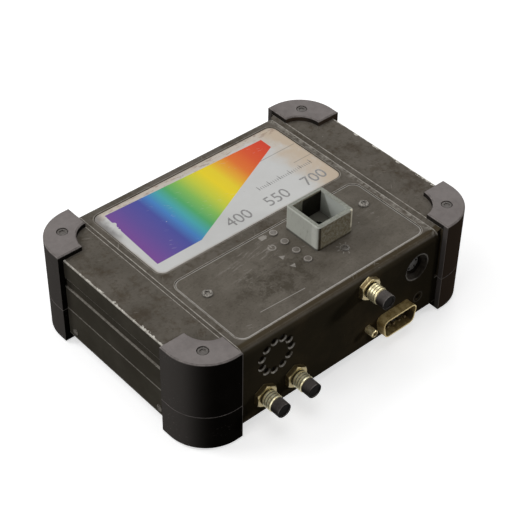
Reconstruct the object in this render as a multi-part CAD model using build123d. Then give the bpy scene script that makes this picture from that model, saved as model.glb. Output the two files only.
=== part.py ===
from build123d import *

import math
import os

# A bench-top spectrometer: a tray, two cast side frames and a folded cover make the casing, and eight
# soft corner halves hold it together. Sizes are in millimetres, Z is up and the feet stand on Z = 0.
# The model is drawn about the middle of the casing, and moved at the end so that its origin is at the
# bottom centre of the whole outline.

# Casing
case_length = 125.8
case_depth = 89.4
case_height = 33.8
corner_radius = 13.6
foot_height = 3.7
tray_height = 12.2
frame_wall = 2.0
tray_wall = 2.0
floor_thickness = 2.0
seam_chamfer = 0.3
edge_break = 0.35

# Folded cover
side_strip = 17.8
cover_sheet = 1.3
cover_sink = 0.7
cover_bend = 3.0
lip_run = 1.65
ledge_width = 2.6
ledge_thickness = 1.6
ledge_set_back = 3.2
front_groove = 1.0
case_fit = 0.05

# Channel along each side face
channel_depth = 0.8
channel_low = 21.8
channel_height = 3.5
channel_bevel = 1.0
channel_overrun = 2.5

# Corner bumpers
bumper_wall = 2.1
bumper_leg_x = 18.3
bumper_leg_y = 19.4
bumper_cut_x = 8.2
bumper_cut_y = 9.3
bumper_seam = 15.3
bumper_seam_gap = 0.12
bumper_edge = 0.45
foot_edge = 0.8
bumper_screw_x = 9.3
bumper_screw_y = 9.05
bumper_head_radius = 1.9
bumper_head_depth = 0.8
bumper_head_height = 0.6
bumper_shank_radius = 1.2
bumper_shank_length = 9.0
socket_depth = 0.35
boss_radius = 2.6
boss_depth = 11.0
screw_fit = 0.05
clear_fit = 0.2

# Side screws, through the tray wall into tabs of the side frames
side_screw_from_bumper = 3.8
side_screw_height = 3.1
side_head_radius = 1.35
side_head_height = 0.45
side_shank_radius = 0.9
tab_width = 7.0
tab_thickness = 2.0
tab_overlap = 5.0
tab_clear = 0.3

# Label recess and plate
label_side_margin = 2.9
label_back_margin = 4.6
label_corner = 3.2
label_recess = 0.45
label_thickness = 0.3
plate_gap = 0.15

# Keypad recess and overlay
keypad_side_margin = 2.7
keypad_front_margin = 4.0
keypad_depth = 36.1
keypad_to_label = 5.3
keypad_corner = 3.6
keypad_recess = 0.4
keypad_thickness = 0.25
panel_screw_side_margin = 9.1
panel_screw_set_back = 24.45
panel_head_radius = 1.9
panel_head_height = 0.7
panel_shank_radius = 1.0
panel_shank_length = 5.0
lug_width = 8.0
lug_thickness = 4.0

# Push buttons and their switches
button_from_right = 44.1
button_from_back = 2.8
button_pitch = 5.9
button_radius = 1.5
button_height = 0.55
button_dome = 0.2
button_flange_radius = 2.2
button_flange = 0.6
button_stem_radius = 0.8
button_travel = 0.5
button_fit = 0.07
flange_gap = 0.06
switch_width = 4.2
switch_height = 1.6
switch_below_flange = 1.4
switch_bore_depth = 1.1
stem_entry = 0.3

# Indicator and key board
indicator_from_right = 30.5
indicator_set_back = 11.6
indicator_radius = 1.5
indicator_height = 0.25
indicator_core_radius = 1.0
indicator_board_front = 2.6
indicator_board_left = 1.4
indicator_post_offset = 3.0
led_height = 1.3
led_width = 2.4
board_thickness = 1.6
key_board_margin = 3.4
key_post_offset = 4.3
key_post_radius = 1.5

# Cuvette holder
holder_from_right = 30.7
holder_set_back = 24.6
holder_width = 16.6
holder_edge = 1.2
holder_rim_break = 0.35
holder_rise = 10.1
well_width = 13.4
well_depth = 9.4
holder_block_depth = 9.5
holder_flange = 1.5
holder_flange_thickness = 2.0
holder_fit = 0.08
window_radius = 3.4
window_thickness = 0.9
light_bore_radius = 3.0
light_bore_floor = 1.6
optic_fit = 0.06

# Fibre ports: distance in from a side of the cover, and height above the table or drop below the top
left_port_from_left = 9.3
left_port_height = 11.9
centre_port_from_left = 22.9
centre_port_height = 11.8
right_port_from_right = 34.6
right_port_drop = 4.8
port_radius = 3.17
port_reach = 6.6
port_bore = 1.6
port_shoulder_radius = 4.4
port_shoulder_flat = 1.6
port_shoulder_length = 2.0
port_tube_radius = 2.4
port_tube_length = 5.4
port_rim_break = 0.3
port_neck_radius = 3.0
port_neck_relief = 0.3
nut_width = 8.0
nut_height = 1.9
nut_chamfer = 0.45
cap_radius = 2.85
cap_length = 3.7
cap_plug_length = 3.0
cap_plug_fit = 0.06
cap_gap = 0.05
cap_edge = 0.3
cap_dish_radius = 2.2
cap_dish_depth = 0.25

# Nine-way D connector
dsub_from_right = 20.3
dsub_height = 9.6
dsub_width = 16.92
dsub_tall = 8.36
dsub_corner = 2.4
dsub_slant = 10.0
dsub_shell = 0.5
dsub_reach = 3.7
dsub_flange_width = 30.8
dsub_flange_height = 9.6
dsub_flange = 1.0
dsub_insert_set_back = 0.4
dsub_insert_length = 6.4
dsub_block_width = 19.2
dsub_block_height = 9.4
contact_pitch = 2.77
contact_row = 1.42
contact_radius = 0.5
contact_reach = 2.7
contact_tail = 2.4
jack_pitch = 25.0
jack_radius = 1.45
jack_reach = 3.7
jack_bore_radius = 0.95
jack_bore_depth = 3.2
jack_shank_radius = 1.15
jack_shank_length = 4.2
dsub_pocket_clear = 0.25

# Round socket
socket_from_right = 10.0
socket_drop = 10.2
socket_radius = 5.75
socket_lip = 0.5
socket_face_radius = 3.7
socket_dish_depth = 1.6
socket_recess = 0.8
socket_seat_radius = 3.4
socket_length = 9.5
socket_insert_set_back = 0.2
socket_contact_count = 5
socket_contact_circle = 2.1
socket_contact_radius = 0.45
socket_contact_depth = 0.6

# Sounder and its ring of holes
sounder_from_left = 14.64
sounder_drop = 10.2
sounder_radius = 8.1
sounder_length = 5.2
grille_radius = 6.53
grille_count = 11
grille_first_angle = 99.3
grille_hole_radius = 1.15
grille_sink_radius = 1.6

# Main board
main_board_from_side = 10.9
main_board_from_bench = 5.5
main_board_from_battery = 4.9
board_gap = 0.1
board_post_radius = 2.4
board_post_inset = 3.4
board_screw_radius = 0.95
board_head_radius = 1.7
board_head_height = 1.2
controller_width = 12.0
converter_width = 9.0
memory_width = 7.0
chip_height = 1.4

# Battery pack
battery_from_bench = 10.5
battery_depth = 30.0
battery_height = 13.0
battery_from_side = 11.9
battery_from_back = 3.4
battery_edge = 1.5

# Optical bench, behind the middle port
bench_from_side = 10.4
bench_past_port = 12.7
bench_set_back = 26.4
bench_from_back = 2.4
bench_floor = 2.0
bench_wall = 2.4
bench_height = 12.0
bench_lid_thickness = 1.4
bench_screw_inset = 2.6
bench_screw_radius = 0.8
bench_head_radius = 1.5
bench_head_height = 0.9
mirror_width = 11.0
mirror_height = 7.6
mirror_thickness = 2.6
mirror_curve = 55.0
mirror_back = 3.2
mirror_seat = 0.05
mirror_inset = 4.6
focusing_inset_x = 9.8
grating_width = 9.0
grating_thickness = 3.0
grating_inset_x = 8.7
grating_set_back = 20.0
detector_length = 15.0
detector_height = 5.4
detector_thickness = 1.8
detector_inset_x = 18.5
detector_board_length = 20.0
slit_tube_wall = 0.9
slit_thickness = 0.4
slit_width = 0.3
slit_length = 1.6

# Lamp, behind the left port
lamp_housing_width = 17.6
lamp_housing_depth = 17.0
lamp_housing_height = 12.0
lamp_housing_front = 6.4
lamp_base_radius = 4.6
lamp_base_length = 7.0
lamp_bulb_radius = 2.6
lamp_bulb_length = 6.0
lamp_bulb_gap = 0.4

# Levels and edges that follow from the sizes above
case_bottom = foot_height
case_top = case_bottom + case_height
case_seam = case_bottom + tray_height
case_side = case_length / 2
case_back = case_depth / 2
case_front = -case_back
floor_top = case_bottom + floor_thickness
cover_top = case_top - cover_sink
cover_under = cover_top - cover_sheet
cover_side = case_side - side_strip
wall_inner = case_front + cover_sheet
back_wall_inner = case_back - cover_sheet
keypad_width = 2 * (cover_side - keypad_side_margin)
keypad_front = case_front + keypad_front_margin
keypad_back = keypad_front + keypad_depth
label_width = 2 * (cover_side - label_side_margin)
label_front = keypad_back + keypad_to_label
label_back = case_back - label_back_margin
panel_screw_x = cover_side - panel_screw_side_margin
panel_screw_y = keypad_front + panel_screw_set_back
button_x = cover_side - button_from_right
button_back_y = keypad_back - button_from_back
indicator_x = cover_side - indicator_from_right
indicator_y = keypad_front + indicator_set_back
holder_x = cover_side - holder_from_right
holder_y = keypad_front + holder_set_back
dsub_x = cover_side - dsub_from_right
socket_x = cover_side - socket_from_right
socket_height = cover_top - socket_drop
sounder_x = sounder_from_left - cover_side
sounder_height = cover_top - sounder_drop
battery_right = case_side - battery_from_side
battery_back = back_wall_inner - battery_from_back
battery_front = battery_back - battery_depth
bench_left = bench_from_side - case_side
bench_front = wall_inner + bench_set_back
bench_back = back_wall_inner - bench_from_back
grating_x = bench_left + grating_inset_x
grating_y = bench_front + grating_set_back
detector_x = bench_left + detector_inset_x
main_board_right = case_side - main_board_from_side
overlay_top = cover_top - keypad_recess + keypad_thickness
bumper_top = case_top + bumper_wall
side_screw_y = case_back + bumper_wall - bumper_leg_y - side_screw_from_bumper
bumper_side = case_side + bumper_wall
bumper_end = case_back + bumper_wall
port_end = case_front - port_reach
cap_back = port_end - cap_gap
cap_end = cap_back - cap_length
origin_shift = -(cap_end + bumper_end) / 2

# Each port's place on the front wall, as X and height
port_places = {
    "left": (left_port_from_left - cover_side, left_port_height),
    "centre": (centre_port_from_left - cover_side, centre_port_height),
    "right": (cover_side - right_port_from_right, cover_top - right_port_drop),
}
bench_right = port_places["centre"][0] + bench_past_port
battery_left = bench_right + battery_from_bench
main_board_left = bench_right + main_board_from_bench
main_board_length = main_board_right - main_board_left

CORNERS = {
    "front_left": (-1, -1),
    "front_right": (1, -1),
    "rear_left": (-1, 1),
    "rear_right": (1, 1),
}
SIDES = {"left": -1, "right": 1}


def block(x0, x1, y0, y1, z0, z1):
    """A box between two corners."""
    middle = Pos((x0 + x1) / 2, (y0 + y1) / 2, (z0 + z1) / 2)
    return middle * Box(abs(x1 - x0), abs(y1 - y0), abs(z1 - z0))


def post(x, y, radius, z0, z1):
    """An upright cylinder."""
    return Pos(x, y, (z0 + z1) / 2) * Cylinder(radius, abs(z1 - z0))


def rod(x, z, radius, y0, y1):
    """A cylinder that lies along Y."""
    return Pos(x, (y0 + y1) / 2, z) * Rot(90, 0, 0) * Cylinder(radius, abs(y1 - y0))


def pin(y, z, radius, x0, x1):
    """A cylinder that lies along X."""
    return Pos((x0 + x1) / 2, y, z) * Rot(0, 90, 0) * Cylinder(radius, abs(x1 - x0))


def upright(sketch, z0, z1):
    """A flat outline raised from one level to another."""
    return Pos(0, 0, z0) * extrude(sketch, z1 - z0)


def facing_front(sketch, x, z, y0, y1):
    """An outline drawn in the front view at a place on the front, run back from y0 to y1."""
    plane = Plane(origin=(x, y0, z), x_dir=(1, 0, 0), z_dir=(0, 1, 0))
    # The plane's own Y points down, so outlines are drawn with Y reversed.
    return extrude(plane * mirror(sketch, about=Plane.XZ), y1 - y0)


def case_outline(grow=0.0):
    """The casing seen from above, with its round corners, made larger or smaller by grow."""
    return RectangleRounded(case_length + 2 * grow, case_depth + 2 * grow, corner_radius + grow)


def bumper_screw_place(sx, sy):
    return sx * (bumper_side - bumper_screw_x), sy * (bumper_end - bumper_screw_y)


def joined(pieces):
    """Separate solids that share one node."""
    return Compound(pieces)


# Casing

def base_tray():
    """Floor and side walls up to the seam, open at front and back where the cover's walls come down."""
    tray = upright(case_outline(), case_bottom, case_seam)
    tray -= upright(case_outline(-tray_wall), floor_top, case_seam)
    tray = chamfer(tray.faces().sort_by(Axis.Z)[-1].outer_wire().edges(), seam_chamfer)
    gap_side = cover_side + case_fit
    for sy in (-1, 1):
        floor_end = sy * (case_back - cover_sheet - case_fit)
        wall_end = sy * (case_back - tray_wall - clear_fit)
        outside = sy * (case_back + 1)
        tray -= block(-gap_side, gap_side, floor_end, outside, case_bottom - 1, case_seam + 1)
        tray -= block(-gap_side, gap_side, wall_end, outside, floor_top, case_seam + 1)
    for sx, sy in CORNERS.values():
        x, y = bumper_screw_place(sx, sy)
        tray += post(x, y, boss_radius, floor_top - floor_thickness / 2, case_seam - 1)
        tray -= post(x, y, bumper_shank_radius + screw_fit, case_bottom - 1, case_bottom + boss_depth)
    for sx in (-1, 1):
        for sy in (-1, 1):
            tray -= pin(sy * side_screw_y, case_bottom + side_screw_height, side_shank_radius + clear_fit,
                        sx * (case_side - tray_wall - 1), sx * (case_side + 1))
    for x, y in board_post_places():
        tray += post(x, y, board_post_radius, floor_top - floor_thickness / 2, main_board_bottom)
        tray -= post(x, y, board_screw_radius + screw_fit, floor_top, main_board_bottom + 1)
    for x, y in bench_screw_places():
        tray -= post(x, y, bench_screw_radius + screw_fit, case_bottom + floor_thickness / 3, floor_top + 1)
    # A pocket in the floor takes the D connector's flange and block, which reach below the floor's top.
    reach = dsub_flange_width / 2 + dsub_pocket_clear
    pocket_low = dsub_height - dsub_flange_height / 2 - dsub_pocket_clear
    tray -= block(dsub_x - reach, dsub_x + reach, case_front, dsub_block_back + dsub_pocket_clear,
                  pocket_low, floor_top + 1)
    return tray


def side_frame(side):
    """Cast frame: top strip, channelled side wall, round corners and short returns front and back."""
    frame = upright(case_outline(), case_seam, case_top)
    frame -= upright(case_outline(-frame_wall), case_seam, case_top - frame_wall)
    edge = cover_side + case_fit
    frame &= block(edge, case_side + 1, case_front - 1, case_back + 1, case_seam, case_top)
    top_rim = frame.faces().sort_by(Axis.Z)[-1].edges().filter_by_position(Axis.X, edge + 1, case_side + 1)
    frame = chamfer(top_rim, edge_break)
    # The inner lip slopes down to the cover.
    slope = Plane.XZ * make_face(Polyline((edge, cover_top), (edge + lip_run, case_top),
                                          (edge, case_top + 1), (edge - 1, case_top + 1),
                                          (edge - 1, cover_top), (edge, cover_top)))
    frame -= Pos(0, case_back + 1, 0) * extrude(slope, case_depth + 2)
    ledge_end = case_back - ledge_set_back
    ledge_top = cover_under - case_fit
    ledge_low = ledge_top - ledge_thickness
    frame += block(edge - ledge_width, edge + lip_run, -ledge_end, ledge_end, ledge_low, ledge_top)
    frame += block(edge, edge + lip_run, -ledge_end, ledge_end, ledge_low, case_top - frame_wall / 2)
    # A lug on the ledge takes the panel screw.
    lug_y0 = panel_screw_y - lug_width / 2
    frame += block(panel_screw_x - lug_width / 2, edge + lip_run, lug_y0, lug_y0 + lug_width,
                   ledge_top - lug_thickness, ledge_top)
    frame -= post(panel_screw_x, panel_screw_y, panel_shank_radius + screw_fit,
                  ledge_top - lug_thickness - 1, ledge_top + 1)
    # The returns are set back beside the cover, which leaves a groove down the front and back.
    for sy in (-1, 1):
        frame -= block(edge, edge + lip_run - case_fit, sy * (case_back - front_groove),
                       sy * (case_back + 1), case_seam, case_top)
    # Channel along the side face, with a bevelled upper side.
    low = case_bottom + channel_low
    high = low + channel_height
    section = Plane.XZ * make_face(Polyline((case_side + 1, low), (case_side - channel_depth, low),
                                            (case_side - channel_depth, high),
                                            (case_side, high + channel_bevel),
                                            (case_side + 1, high + channel_bevel), (case_side + 1, low)))
    channel_end = case_back - bumper_leg_y + bumper_wall + channel_overrun
    frame -= Pos(0, channel_end, 0) * extrude(section, 2 * channel_end)
    # Tabs reach down inside the tray wall and take the side screws.
    tab_outer = case_side - tray_wall - case_fit
    for sy in (-1, 1):
        y0 = sy * side_screw_y - tab_width / 2
        frame += block(tab_outer - tab_thickness, tab_outer, y0, y0 + tab_width,
                       floor_top + tab_clear, case_seam + tab_overlap)
        frame += block(tab_outer - tab_thickness, case_side - frame_wall / 2, y0, y0 + tab_width,
                       case_seam + seam_chamfer, case_seam + tab_overlap)
        frame -= pin(sy * side_screw_y, case_bottom + side_screw_height, side_shank_radius + screw_fit,
                     tab_outer - tab_thickness - 1, tab_outer + 1)
        x, y = bumper_screw_place(1, sy)
        frame += post(x, y, boss_radius, case_top - boss_depth, case_top - frame_wall / 2)
        frame -= post(x, y, bumper_shank_radius + screw_fit, case_top - boss_depth, case_top + 1)
    return frame if side > 0 else mirror(frame, about=Plane.YZ)


def cover_section():
    """The folded sheet seen from the side: an upside-down U with round bends."""
    height = cover_top - case_bottom
    outer = Pos(0, height / 2) * Rectangle(case_depth, height)
    outer = fillet(outer.vertices().group_by(Axis.Y)[-1], cover_bend)
    inner_height = height - cover_sheet
    inner = Pos(0, inner_height / 2) * Rectangle(case_depth - 2 * cover_sheet, inner_height)
    inner = fillet(inner.vertices().group_by(Axis.Y)[-1], cover_bend - cover_sheet)
    return outer - inner


def top_cover():
    """Top panel with front and back walls, and every opening that the controls and connectors need."""
    profile = Plane(origin=(-cover_side, 0, case_bottom), x_dir=(0, 1, 0), z_dir=(1, 0, 0))
    cover = extrude(profile * cover_section(), 2 * cover_side)
    cover -= upright(plate_outline(keypad_width, keypad_front, keypad_back, keypad_corner),
                     cover_top - keypad_recess, cover_top + 1)
    cover -= upright(plate_outline(label_width, label_front, label_back, label_corner),
                     cover_top - label_recess, cover_top + 1)
    # Posts under the panel carry the key board.
    for x, y in key_post_places():
        cover += post(x, y, key_post_radius, key_board_top, cover_under + cover_sheet / 4)
    hole = holder_width + 2 * holder_fit
    opening = Pos(holder_x, holder_y) * RectangleRounded(hole, hole, holder_edge + holder_fit)
    cover -= upright(opening, cover_under - 1, cover_top + 1)
    for x, y in button_places():
        cover -= post(x, y, button_radius + button_fit, cover_under - 1, cover_top + 1)
    cover -= post(indicator_x, indicator_y, indicator_radius + case_fit, cover_under - 1, cover_top + 1)
    for sx in (-1, 1):
        cover -= post(sx * panel_screw_x, panel_screw_y, panel_shank_radius + clear_fit,
                      cover_under - 1, cover_top + 1)
    outside, inside = case_front - 1, case_front + cover_bend
    for x, z in port_places.values():
        cover -= rod(x, z, port_radius + screw_fit, outside, inside)
    cover -= facing_front(d_outline(case_fit), dsub_x, dsub_height, outside, inside)
    for sx in (-1, 1):
        cover -= rod(dsub_x + sx * jack_pitch / 2, jack_height, jack_shank_radius + screw_fit,
                     outside, inside)
    cover -= rod(socket_x, socket_height, socket_radius + case_fit, outside, inside)
    # Ring of sound holes, each countersunk from outside.
    sink = grille_sink_radius - grille_hole_radius
    for x, z in grille_places():
        cover -= rod(x, z, grille_hole_radius, outside, inside)
        cone = Pos(x, case_front + sink / 2, z) * Rot(90, 0, 0) * Cone(grille_hole_radius,
                                                                      grille_sink_radius, sink)
        cover -= cone
    return cover


def plate_outline(width, front, back, corner):
    return Pos(0, (front + back) / 2) * RectangleRounded(width, back - front, corner)


def label_plate():
    """Thin plate glued into the label recess."""
    outline = plate_outline(label_width - 2 * plate_gap, label_front + plate_gap,
                            label_back - plate_gap, label_corner - plate_gap)
    low = cover_top - label_recess
    return upright(outline, low, low + label_thickness)


def keypad_overlay():
    """Thin plate in the keypad recess, with holes for everything that comes through it."""
    outline = plate_outline(keypad_width - 2 * plate_gap, keypad_front + plate_gap,
                            keypad_back - plate_gap, keypad_corner - plate_gap)
    low = cover_top - keypad_recess
    overlay = upright(outline, low, overlay_top)
    hole = holder_width + 2 * holder_fit
    opening = Pos(holder_x, holder_y) * RectangleRounded(hole, hole, holder_edge + holder_fit)
    overlay -= upright(opening, low - 1, overlay_top + 1)
    for x, y in button_places():
        overlay -= post(x, y, button_radius + button_fit, low - 1, overlay_top + 1)
    overlay -= post(indicator_x, indicator_y, indicator_radius + case_fit, low - 1, overlay_top + 1)
    for sx in (-1, 1):
        overlay -= post(sx * panel_screw_x, panel_screw_y, panel_shank_radius + clear_fit,
                        low - 1, overlay_top + 1)
    return overlay


# Corner bumpers and the screws of the casing

def bumper_outline(sx, sy):
    """A quarter ring over the corner, with an elliptical bite out of its inner corner."""
    leg_x = bumper_side - bumper_leg_x
    leg_y = bumper_end - bumper_leg_y
    quarter = Pos(leg_x + bumper_leg_x / 2, leg_y + bumper_leg_y / 2) * Rectangle(bumper_leg_x, bumper_leg_y)
    outline = case_outline(bumper_wall) & quarter
    outline -= Pos(leg_x, leg_y) * Ellipse(bumper_cut_x, bumper_cut_y)
    if sx < 0:
        outline = mirror(outline, about=Plane.YZ)
    if sy < 0:
        outline = mirror(outline, about=Plane.XZ)
    return outline


def bumper_half(sx, sy, upper):
    """One half: a plate over or under the casing and a wall that wraps its corner."""
    outline = bumper_outline(sx, sy)
    z0, z1 = (bumper_seam + bumper_seam_gap, bumper_top) if upper else (0, bumper_seam)
    half = upright(outline, z0, z1)
    x, y = bumper_screw_place(sx, sy)
    if upper:
        half = chamfer(half.faces().sort_by(Axis.Z)[-1].edges(), bumper_edge)
        half -= upright(case_outline(case_fit), z0 - 1, case_top)
        half -= post(x, y, bumper_head_radius + clear_fit, bumper_top - bumper_head_depth, bumper_top + 1)
    else:
        half = chamfer(half.faces().sort_by(Axis.Z)[0].edges(), foot_edge)
        half -= upright(case_outline(case_fit), case_bottom, z1 + 1)
        half -= post(x, y, bumper_head_radius + clear_fit, -1, bumper_head_depth)
    half -= post(x, y, bumper_shank_radius + clear_fit, z0 - 1, z1 + 1)
    return half


def bumper_screws():
    """Eight alike: four down into the side frames and four up into the tray."""
    screws = []
    for sx, sy in CORNERS.values():
        x, y = bumper_screw_place(sx, sy)
        head = post(0, 0, bumper_head_radius, 0, bumper_head_height)
        head = chamfer(head.faces().sort_by(Axis.Z)[-1].edges(), bumper_head_height / 3)
        head -= upright(RegularPolygon(bumper_shank_radius, 6), bumper_head_height - socket_depth,
                        bumper_head_height + 1)
        screw = head + post(0, 0, bumper_shank_radius, -bumper_shank_length, 0)
        seat = bumper_top - bumper_head_depth
        screws.append(Pos(x, y, seat) * screw)
        screws.append(Pos(x, y, bumper_head_depth) * Rot(180, 0, 0) * screw)
    return joined(screws)


def side_screws():
    """Four pan-head screws through the tray's side walls."""
    screws = []
    for sx in (-1, 1):
        for sy in (-1, 1):
            head = post(0, 0, side_head_radius, 0, side_head_height)
            head = fillet(head.faces().sort_by(Axis.Z)[-1].edges(), side_head_height * 0.8)
            screw = head + post(0, 0, side_shank_radius, -tray_wall - tab_thickness, 0)
            place = Pos(sx * case_side, sy * side_screw_y, case_bottom + side_screw_height)
            screws.append(place * Rot(0, sx * 90, 0) * screw)
    return joined(screws)


def panel_screws():
    """Two pan-head screws through the keypad field into the lugs of the side frames."""
    screws = []
    for sx in (-1, 1):
        x = sx * panel_screw_x
        head = post(x, panel_screw_y, panel_head_radius, overlay_top, overlay_top + panel_head_height)
        head = fillet(head.faces().sort_by(Axis.Z)[-1].edges(), panel_head_height * 0.6)
        recess = Pos(x, panel_screw_y) * RegularPolygon(panel_shank_radius, 6)
        head_top = overlay_top + panel_head_height
        head -= upright(recess, head_top - socket_depth, head_top + 1)
        screws.append(head + post(x, panel_screw_y, panel_shank_radius,
                                  overlay_top - panel_shank_length, overlay_top))
    return joined(screws)


# Keys and indicator

def button_places():
    return [(button_x, button_back_y - i * button_pitch) for i in range(4)]


# The flange stops a button under the panel, and the switch sits below it on the key board.
flange_top = cover_under - flange_gap
switch_top = flange_top - button_flange - button_travel - switch_below_flange
key_board_top = switch_top - switch_height


def key_post_places():
    """Two posts beside the keys and one beside the indicator."""
    x = button_x - key_post_offset
    front = button_places()[-1][1]
    return [(x, button_back_y), (x, front), (indicator_x + indicator_post_offset, indicator_y)]


def button(index):
    """Domed cap, flange under the panel and a stem that enters the switch."""
    x, y = button_places()[index]
    top = overlay_top + button_height
    cap = post(x, y, button_radius, flange_top, top)
    cap = fillet(cap.faces().sort_by(Axis.Z)[-1].edges(), button_dome)
    cap += post(x, y, button_flange_radius, flange_top - button_flange, flange_top)
    cap += post(x, y, button_stem_radius, switch_top - stem_entry, flange_top)
    return cap


def key_switches():
    """Four square tactile switches, each with a bore for the button's stem."""
    switches = []
    half = switch_width / 2
    for x, y in button_places():
        body = block(x - half, x + half, y - half, y + half, key_board_top, switch_top)
        body -= post(x, y, button_stem_radius + button_fit, switch_top - switch_bore_depth, switch_top + 1)
        switches.append(body)
    return joined(switches)


def key_board():
    """Strip of board under the keys, held to two posts of the cover."""
    front = button_places()[-1][1]
    return block(button_x - key_post_offset - key_post_radius, button_x + key_board_margin,
                 front - key_board_margin, button_back_y + key_board_margin,
                 key_board_top - board_thickness, key_board_top)


def indicator_board():
    """Small board on a post of its own, with the light-emitting diode soldered to it."""
    half = led_width / 2
    board = block(indicator_x - indicator_board_left, indicator_x + indicator_post_offset + key_post_radius,
                  indicator_y - indicator_board_front, indicator_y + indicator_board_front,
                  key_board_top - board_thickness, key_board_top)
    return board + block(indicator_x - half, indicator_x + half, indicator_y - half, indicator_y + half,
                         key_board_top - board_thickness / 2, key_board_top + led_height)


def indicator_lens():
    """Round lens that looks out of the overlay: a raised ring about a sunken core."""
    top = overlay_top + indicator_height
    lens = post(indicator_x, indicator_y, indicator_radius, key_board_top + led_height, top)
    lens -= post(indicator_x, indicator_y, indicator_core_radius, overlay_top, top + 1)
    return lens


# Sample well

holder_top = cover_top + holder_rise
well_floor = holder_top - well_depth
holder_low = cover_under - holder_block_depth


def cuvette_holder():
    """Square tube that stands through the cover, on a block with the light path in it."""
    outline = Pos(holder_x, holder_y) * RectangleRounded(holder_width, holder_width, holder_edge)
    holder = upright(outline, holder_low, holder_top)
    holder = chamfer(holder.faces().sort_by(Axis.Z)[-1].edges(), holder_rim_break)
    wide = holder_width + 2 * holder_flange
    flange = Pos(holder_x, holder_y) * RectangleRounded(wide, wide, holder_edge)
    holder += upright(flange, cover_under - holder_flange_thickness, cover_under - case_fit)
    well = Pos(holder_x, holder_y) * Rectangle(well_width, well_width)
    holder -= upright(well, well_floor, holder_top + 1)
    holder -= post(holder_x, holder_y, window_radius + optic_fit, well_floor - window_thickness,
                   well_floor + 1)
    holder -= post(holder_x, holder_y, light_bore_radius, holder_low + light_bore_floor, well_floor)
    x, z = port_places["right"]
    holder -= rod(x, z, port_bore, holder_y - holder_width / 2 - 1, holder_y)
    return holder


def well_window():
    """Glass disc let into the floor of the well."""
    return post(holder_x, holder_y, window_radius, well_floor - window_thickness, well_floor)


def fold_mirror():
    """Round plug with a sloping top that turns the light towards the right port."""
    low = holder_low + light_bore_floor
    radius = light_bore_radius - optic_fit
    plug = post(holder_x, holder_y, radius, low, well_floor - window_thickness)
    centre = port_places["right"][1]
    reach = 4 * holder_block_depth
    above = Box(reach, reach, reach, align=(Align.CENTER, Align.CENTER, Align.MIN))
    return plug - Pos(holder_x, holder_y, centre) * Rot(45, 0, 0) * above


# Connectors

def port_tube_end(side):
    """How far back the tube behind each port reaches."""
    if side == "right":
        return holder_y - holder_width / 2 - holder_flange - clear_fit
    return wall_inner + port_shoulder_length + port_tube_length


def fibre_port(side):
    """Threaded barrel, a neck through the nut and the wall, a shoulder with a flat and a tube behind."""
    x, z = port_places[side]
    shoulder_end = wall_inner + port_shoulder_length
    neck_front = case_front - nut_height - port_neck_relief
    body = rod(x, z, port_radius, port_end, neck_front)
    body = chamfer(body.faces().sort_by(Axis.Y)[0].edges(), port_rim_break)
    body += rod(x, z, port_neck_radius, neck_front, shoulder_end)
    shoulder = rod(x, z, port_shoulder_radius, wall_inner, shoulder_end)
    shoulder -= block(x - port_shoulder_radius, x + port_shoulder_radius, wall_inner, shoulder_end,
                      z + port_shoulder_flat, z + port_shoulder_radius)
    body += shoulder
    tube_end = port_tube_end(side)
    body += rod(x, z, port_tube_radius, shoulder_end, tube_end)
    return body - rod(x, z, port_bore, port_end - 1, tube_end + 1)


def fibre_nuts():
    """Hexagonal nuts that clamp the ports to the front wall."""
    nuts = []
    for x, z in port_places.values():
        hexagon = Rot(0, 0, 30) * RegularPolygon(nut_width / 2, 6, major_radius=False)
        nut = extrude(hexagon, nut_height)
        rounding = Cylinder(nut_width / 2 / math.cos(math.radians(30)), nut_height,
                            align=(Align.CENTER, Align.CENTER, Align.MIN))
        nut &= chamfer(rounding.faces().sort_by(Axis.Z)[-1].edges(), nut_chamfer)
        nut -= Cylinder(port_neck_radius + screw_fit, 3 * nut_height)
        nuts.append(Pos(x, case_front, z) * Rot(90, 0, 0) * nut)
    return joined(nuts)


def dust_cap(side):
    """Round cap with a plug that fits the port's bore, and a shallow dish in its end."""
    x, z = port_places[side]
    cap = rod(x, z, cap_radius, cap_end, cap_back)
    cap = fillet(cap.faces().sort_by(Axis.Y)[0].edges(), cap_edge)
    cap -= rod(x, z, cap_dish_radius, cap_end - 1, cap_end + cap_dish_depth)
    return cap + rod(x, z, port_bore - cap_plug_fit, cap_back, cap_back + cap_plug_length)


def d_outline(grow=0.0):
    """The D of the connector in the front view, wide side up, made larger or smaller by grow."""
    half = dsub_width / 2 + grow
    tall = dsub_tall / 2 + grow
    slope = 2 * tall * math.tan(math.radians(dsub_slant))
    corners = [(-half, tall), (half, tall), (half - slope, -tall), (-half + slope, -tall)]
    face = make_face(Polyline(*corners, close=True))
    return fillet(face.vertices(), dsub_corner + grow)


jack_height = dsub_height + 1.7
dsub_face = case_front - dsub_reach
dsub_block_back = wall_inner + dsub_insert_length
main_board_bottom = dsub_height - board_thickness / 2
main_board_front = dsub_block_back + board_gap
main_board_back = battery_front - main_board_from_battery


def dsub_shell_piece():
    """Drawn shell that passes through the wall and ends on its flange."""
    shell = facing_front(d_outline(), dsub_x, dsub_height, dsub_face, wall_inner)
    return shell - facing_front(d_outline(-dsub_shell), dsub_x, dsub_height, dsub_face - 1, wall_inner + 1)


def dsub_flange_piece():
    """Flange flat against the wall's inside, with a hole at either end for a jackscrew."""
    half_w, half_h = dsub_flange_width / 2, dsub_flange_height / 2
    back = wall_inner + dsub_flange
    flange = block(dsub_x - half_w, dsub_x + half_w, wall_inner, back,
                   dsub_height - half_h, dsub_height + half_h)
    flange -= facing_front(d_outline(-dsub_shell), dsub_x, dsub_height, wall_inner - 1, back + 1)
    for sx in (-1, 1):
        flange -= rod(dsub_x + sx * jack_pitch / 2, jack_height, jack_shank_radius + screw_fit,
                      wall_inner - 1, back + 1)
    return flange


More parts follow.
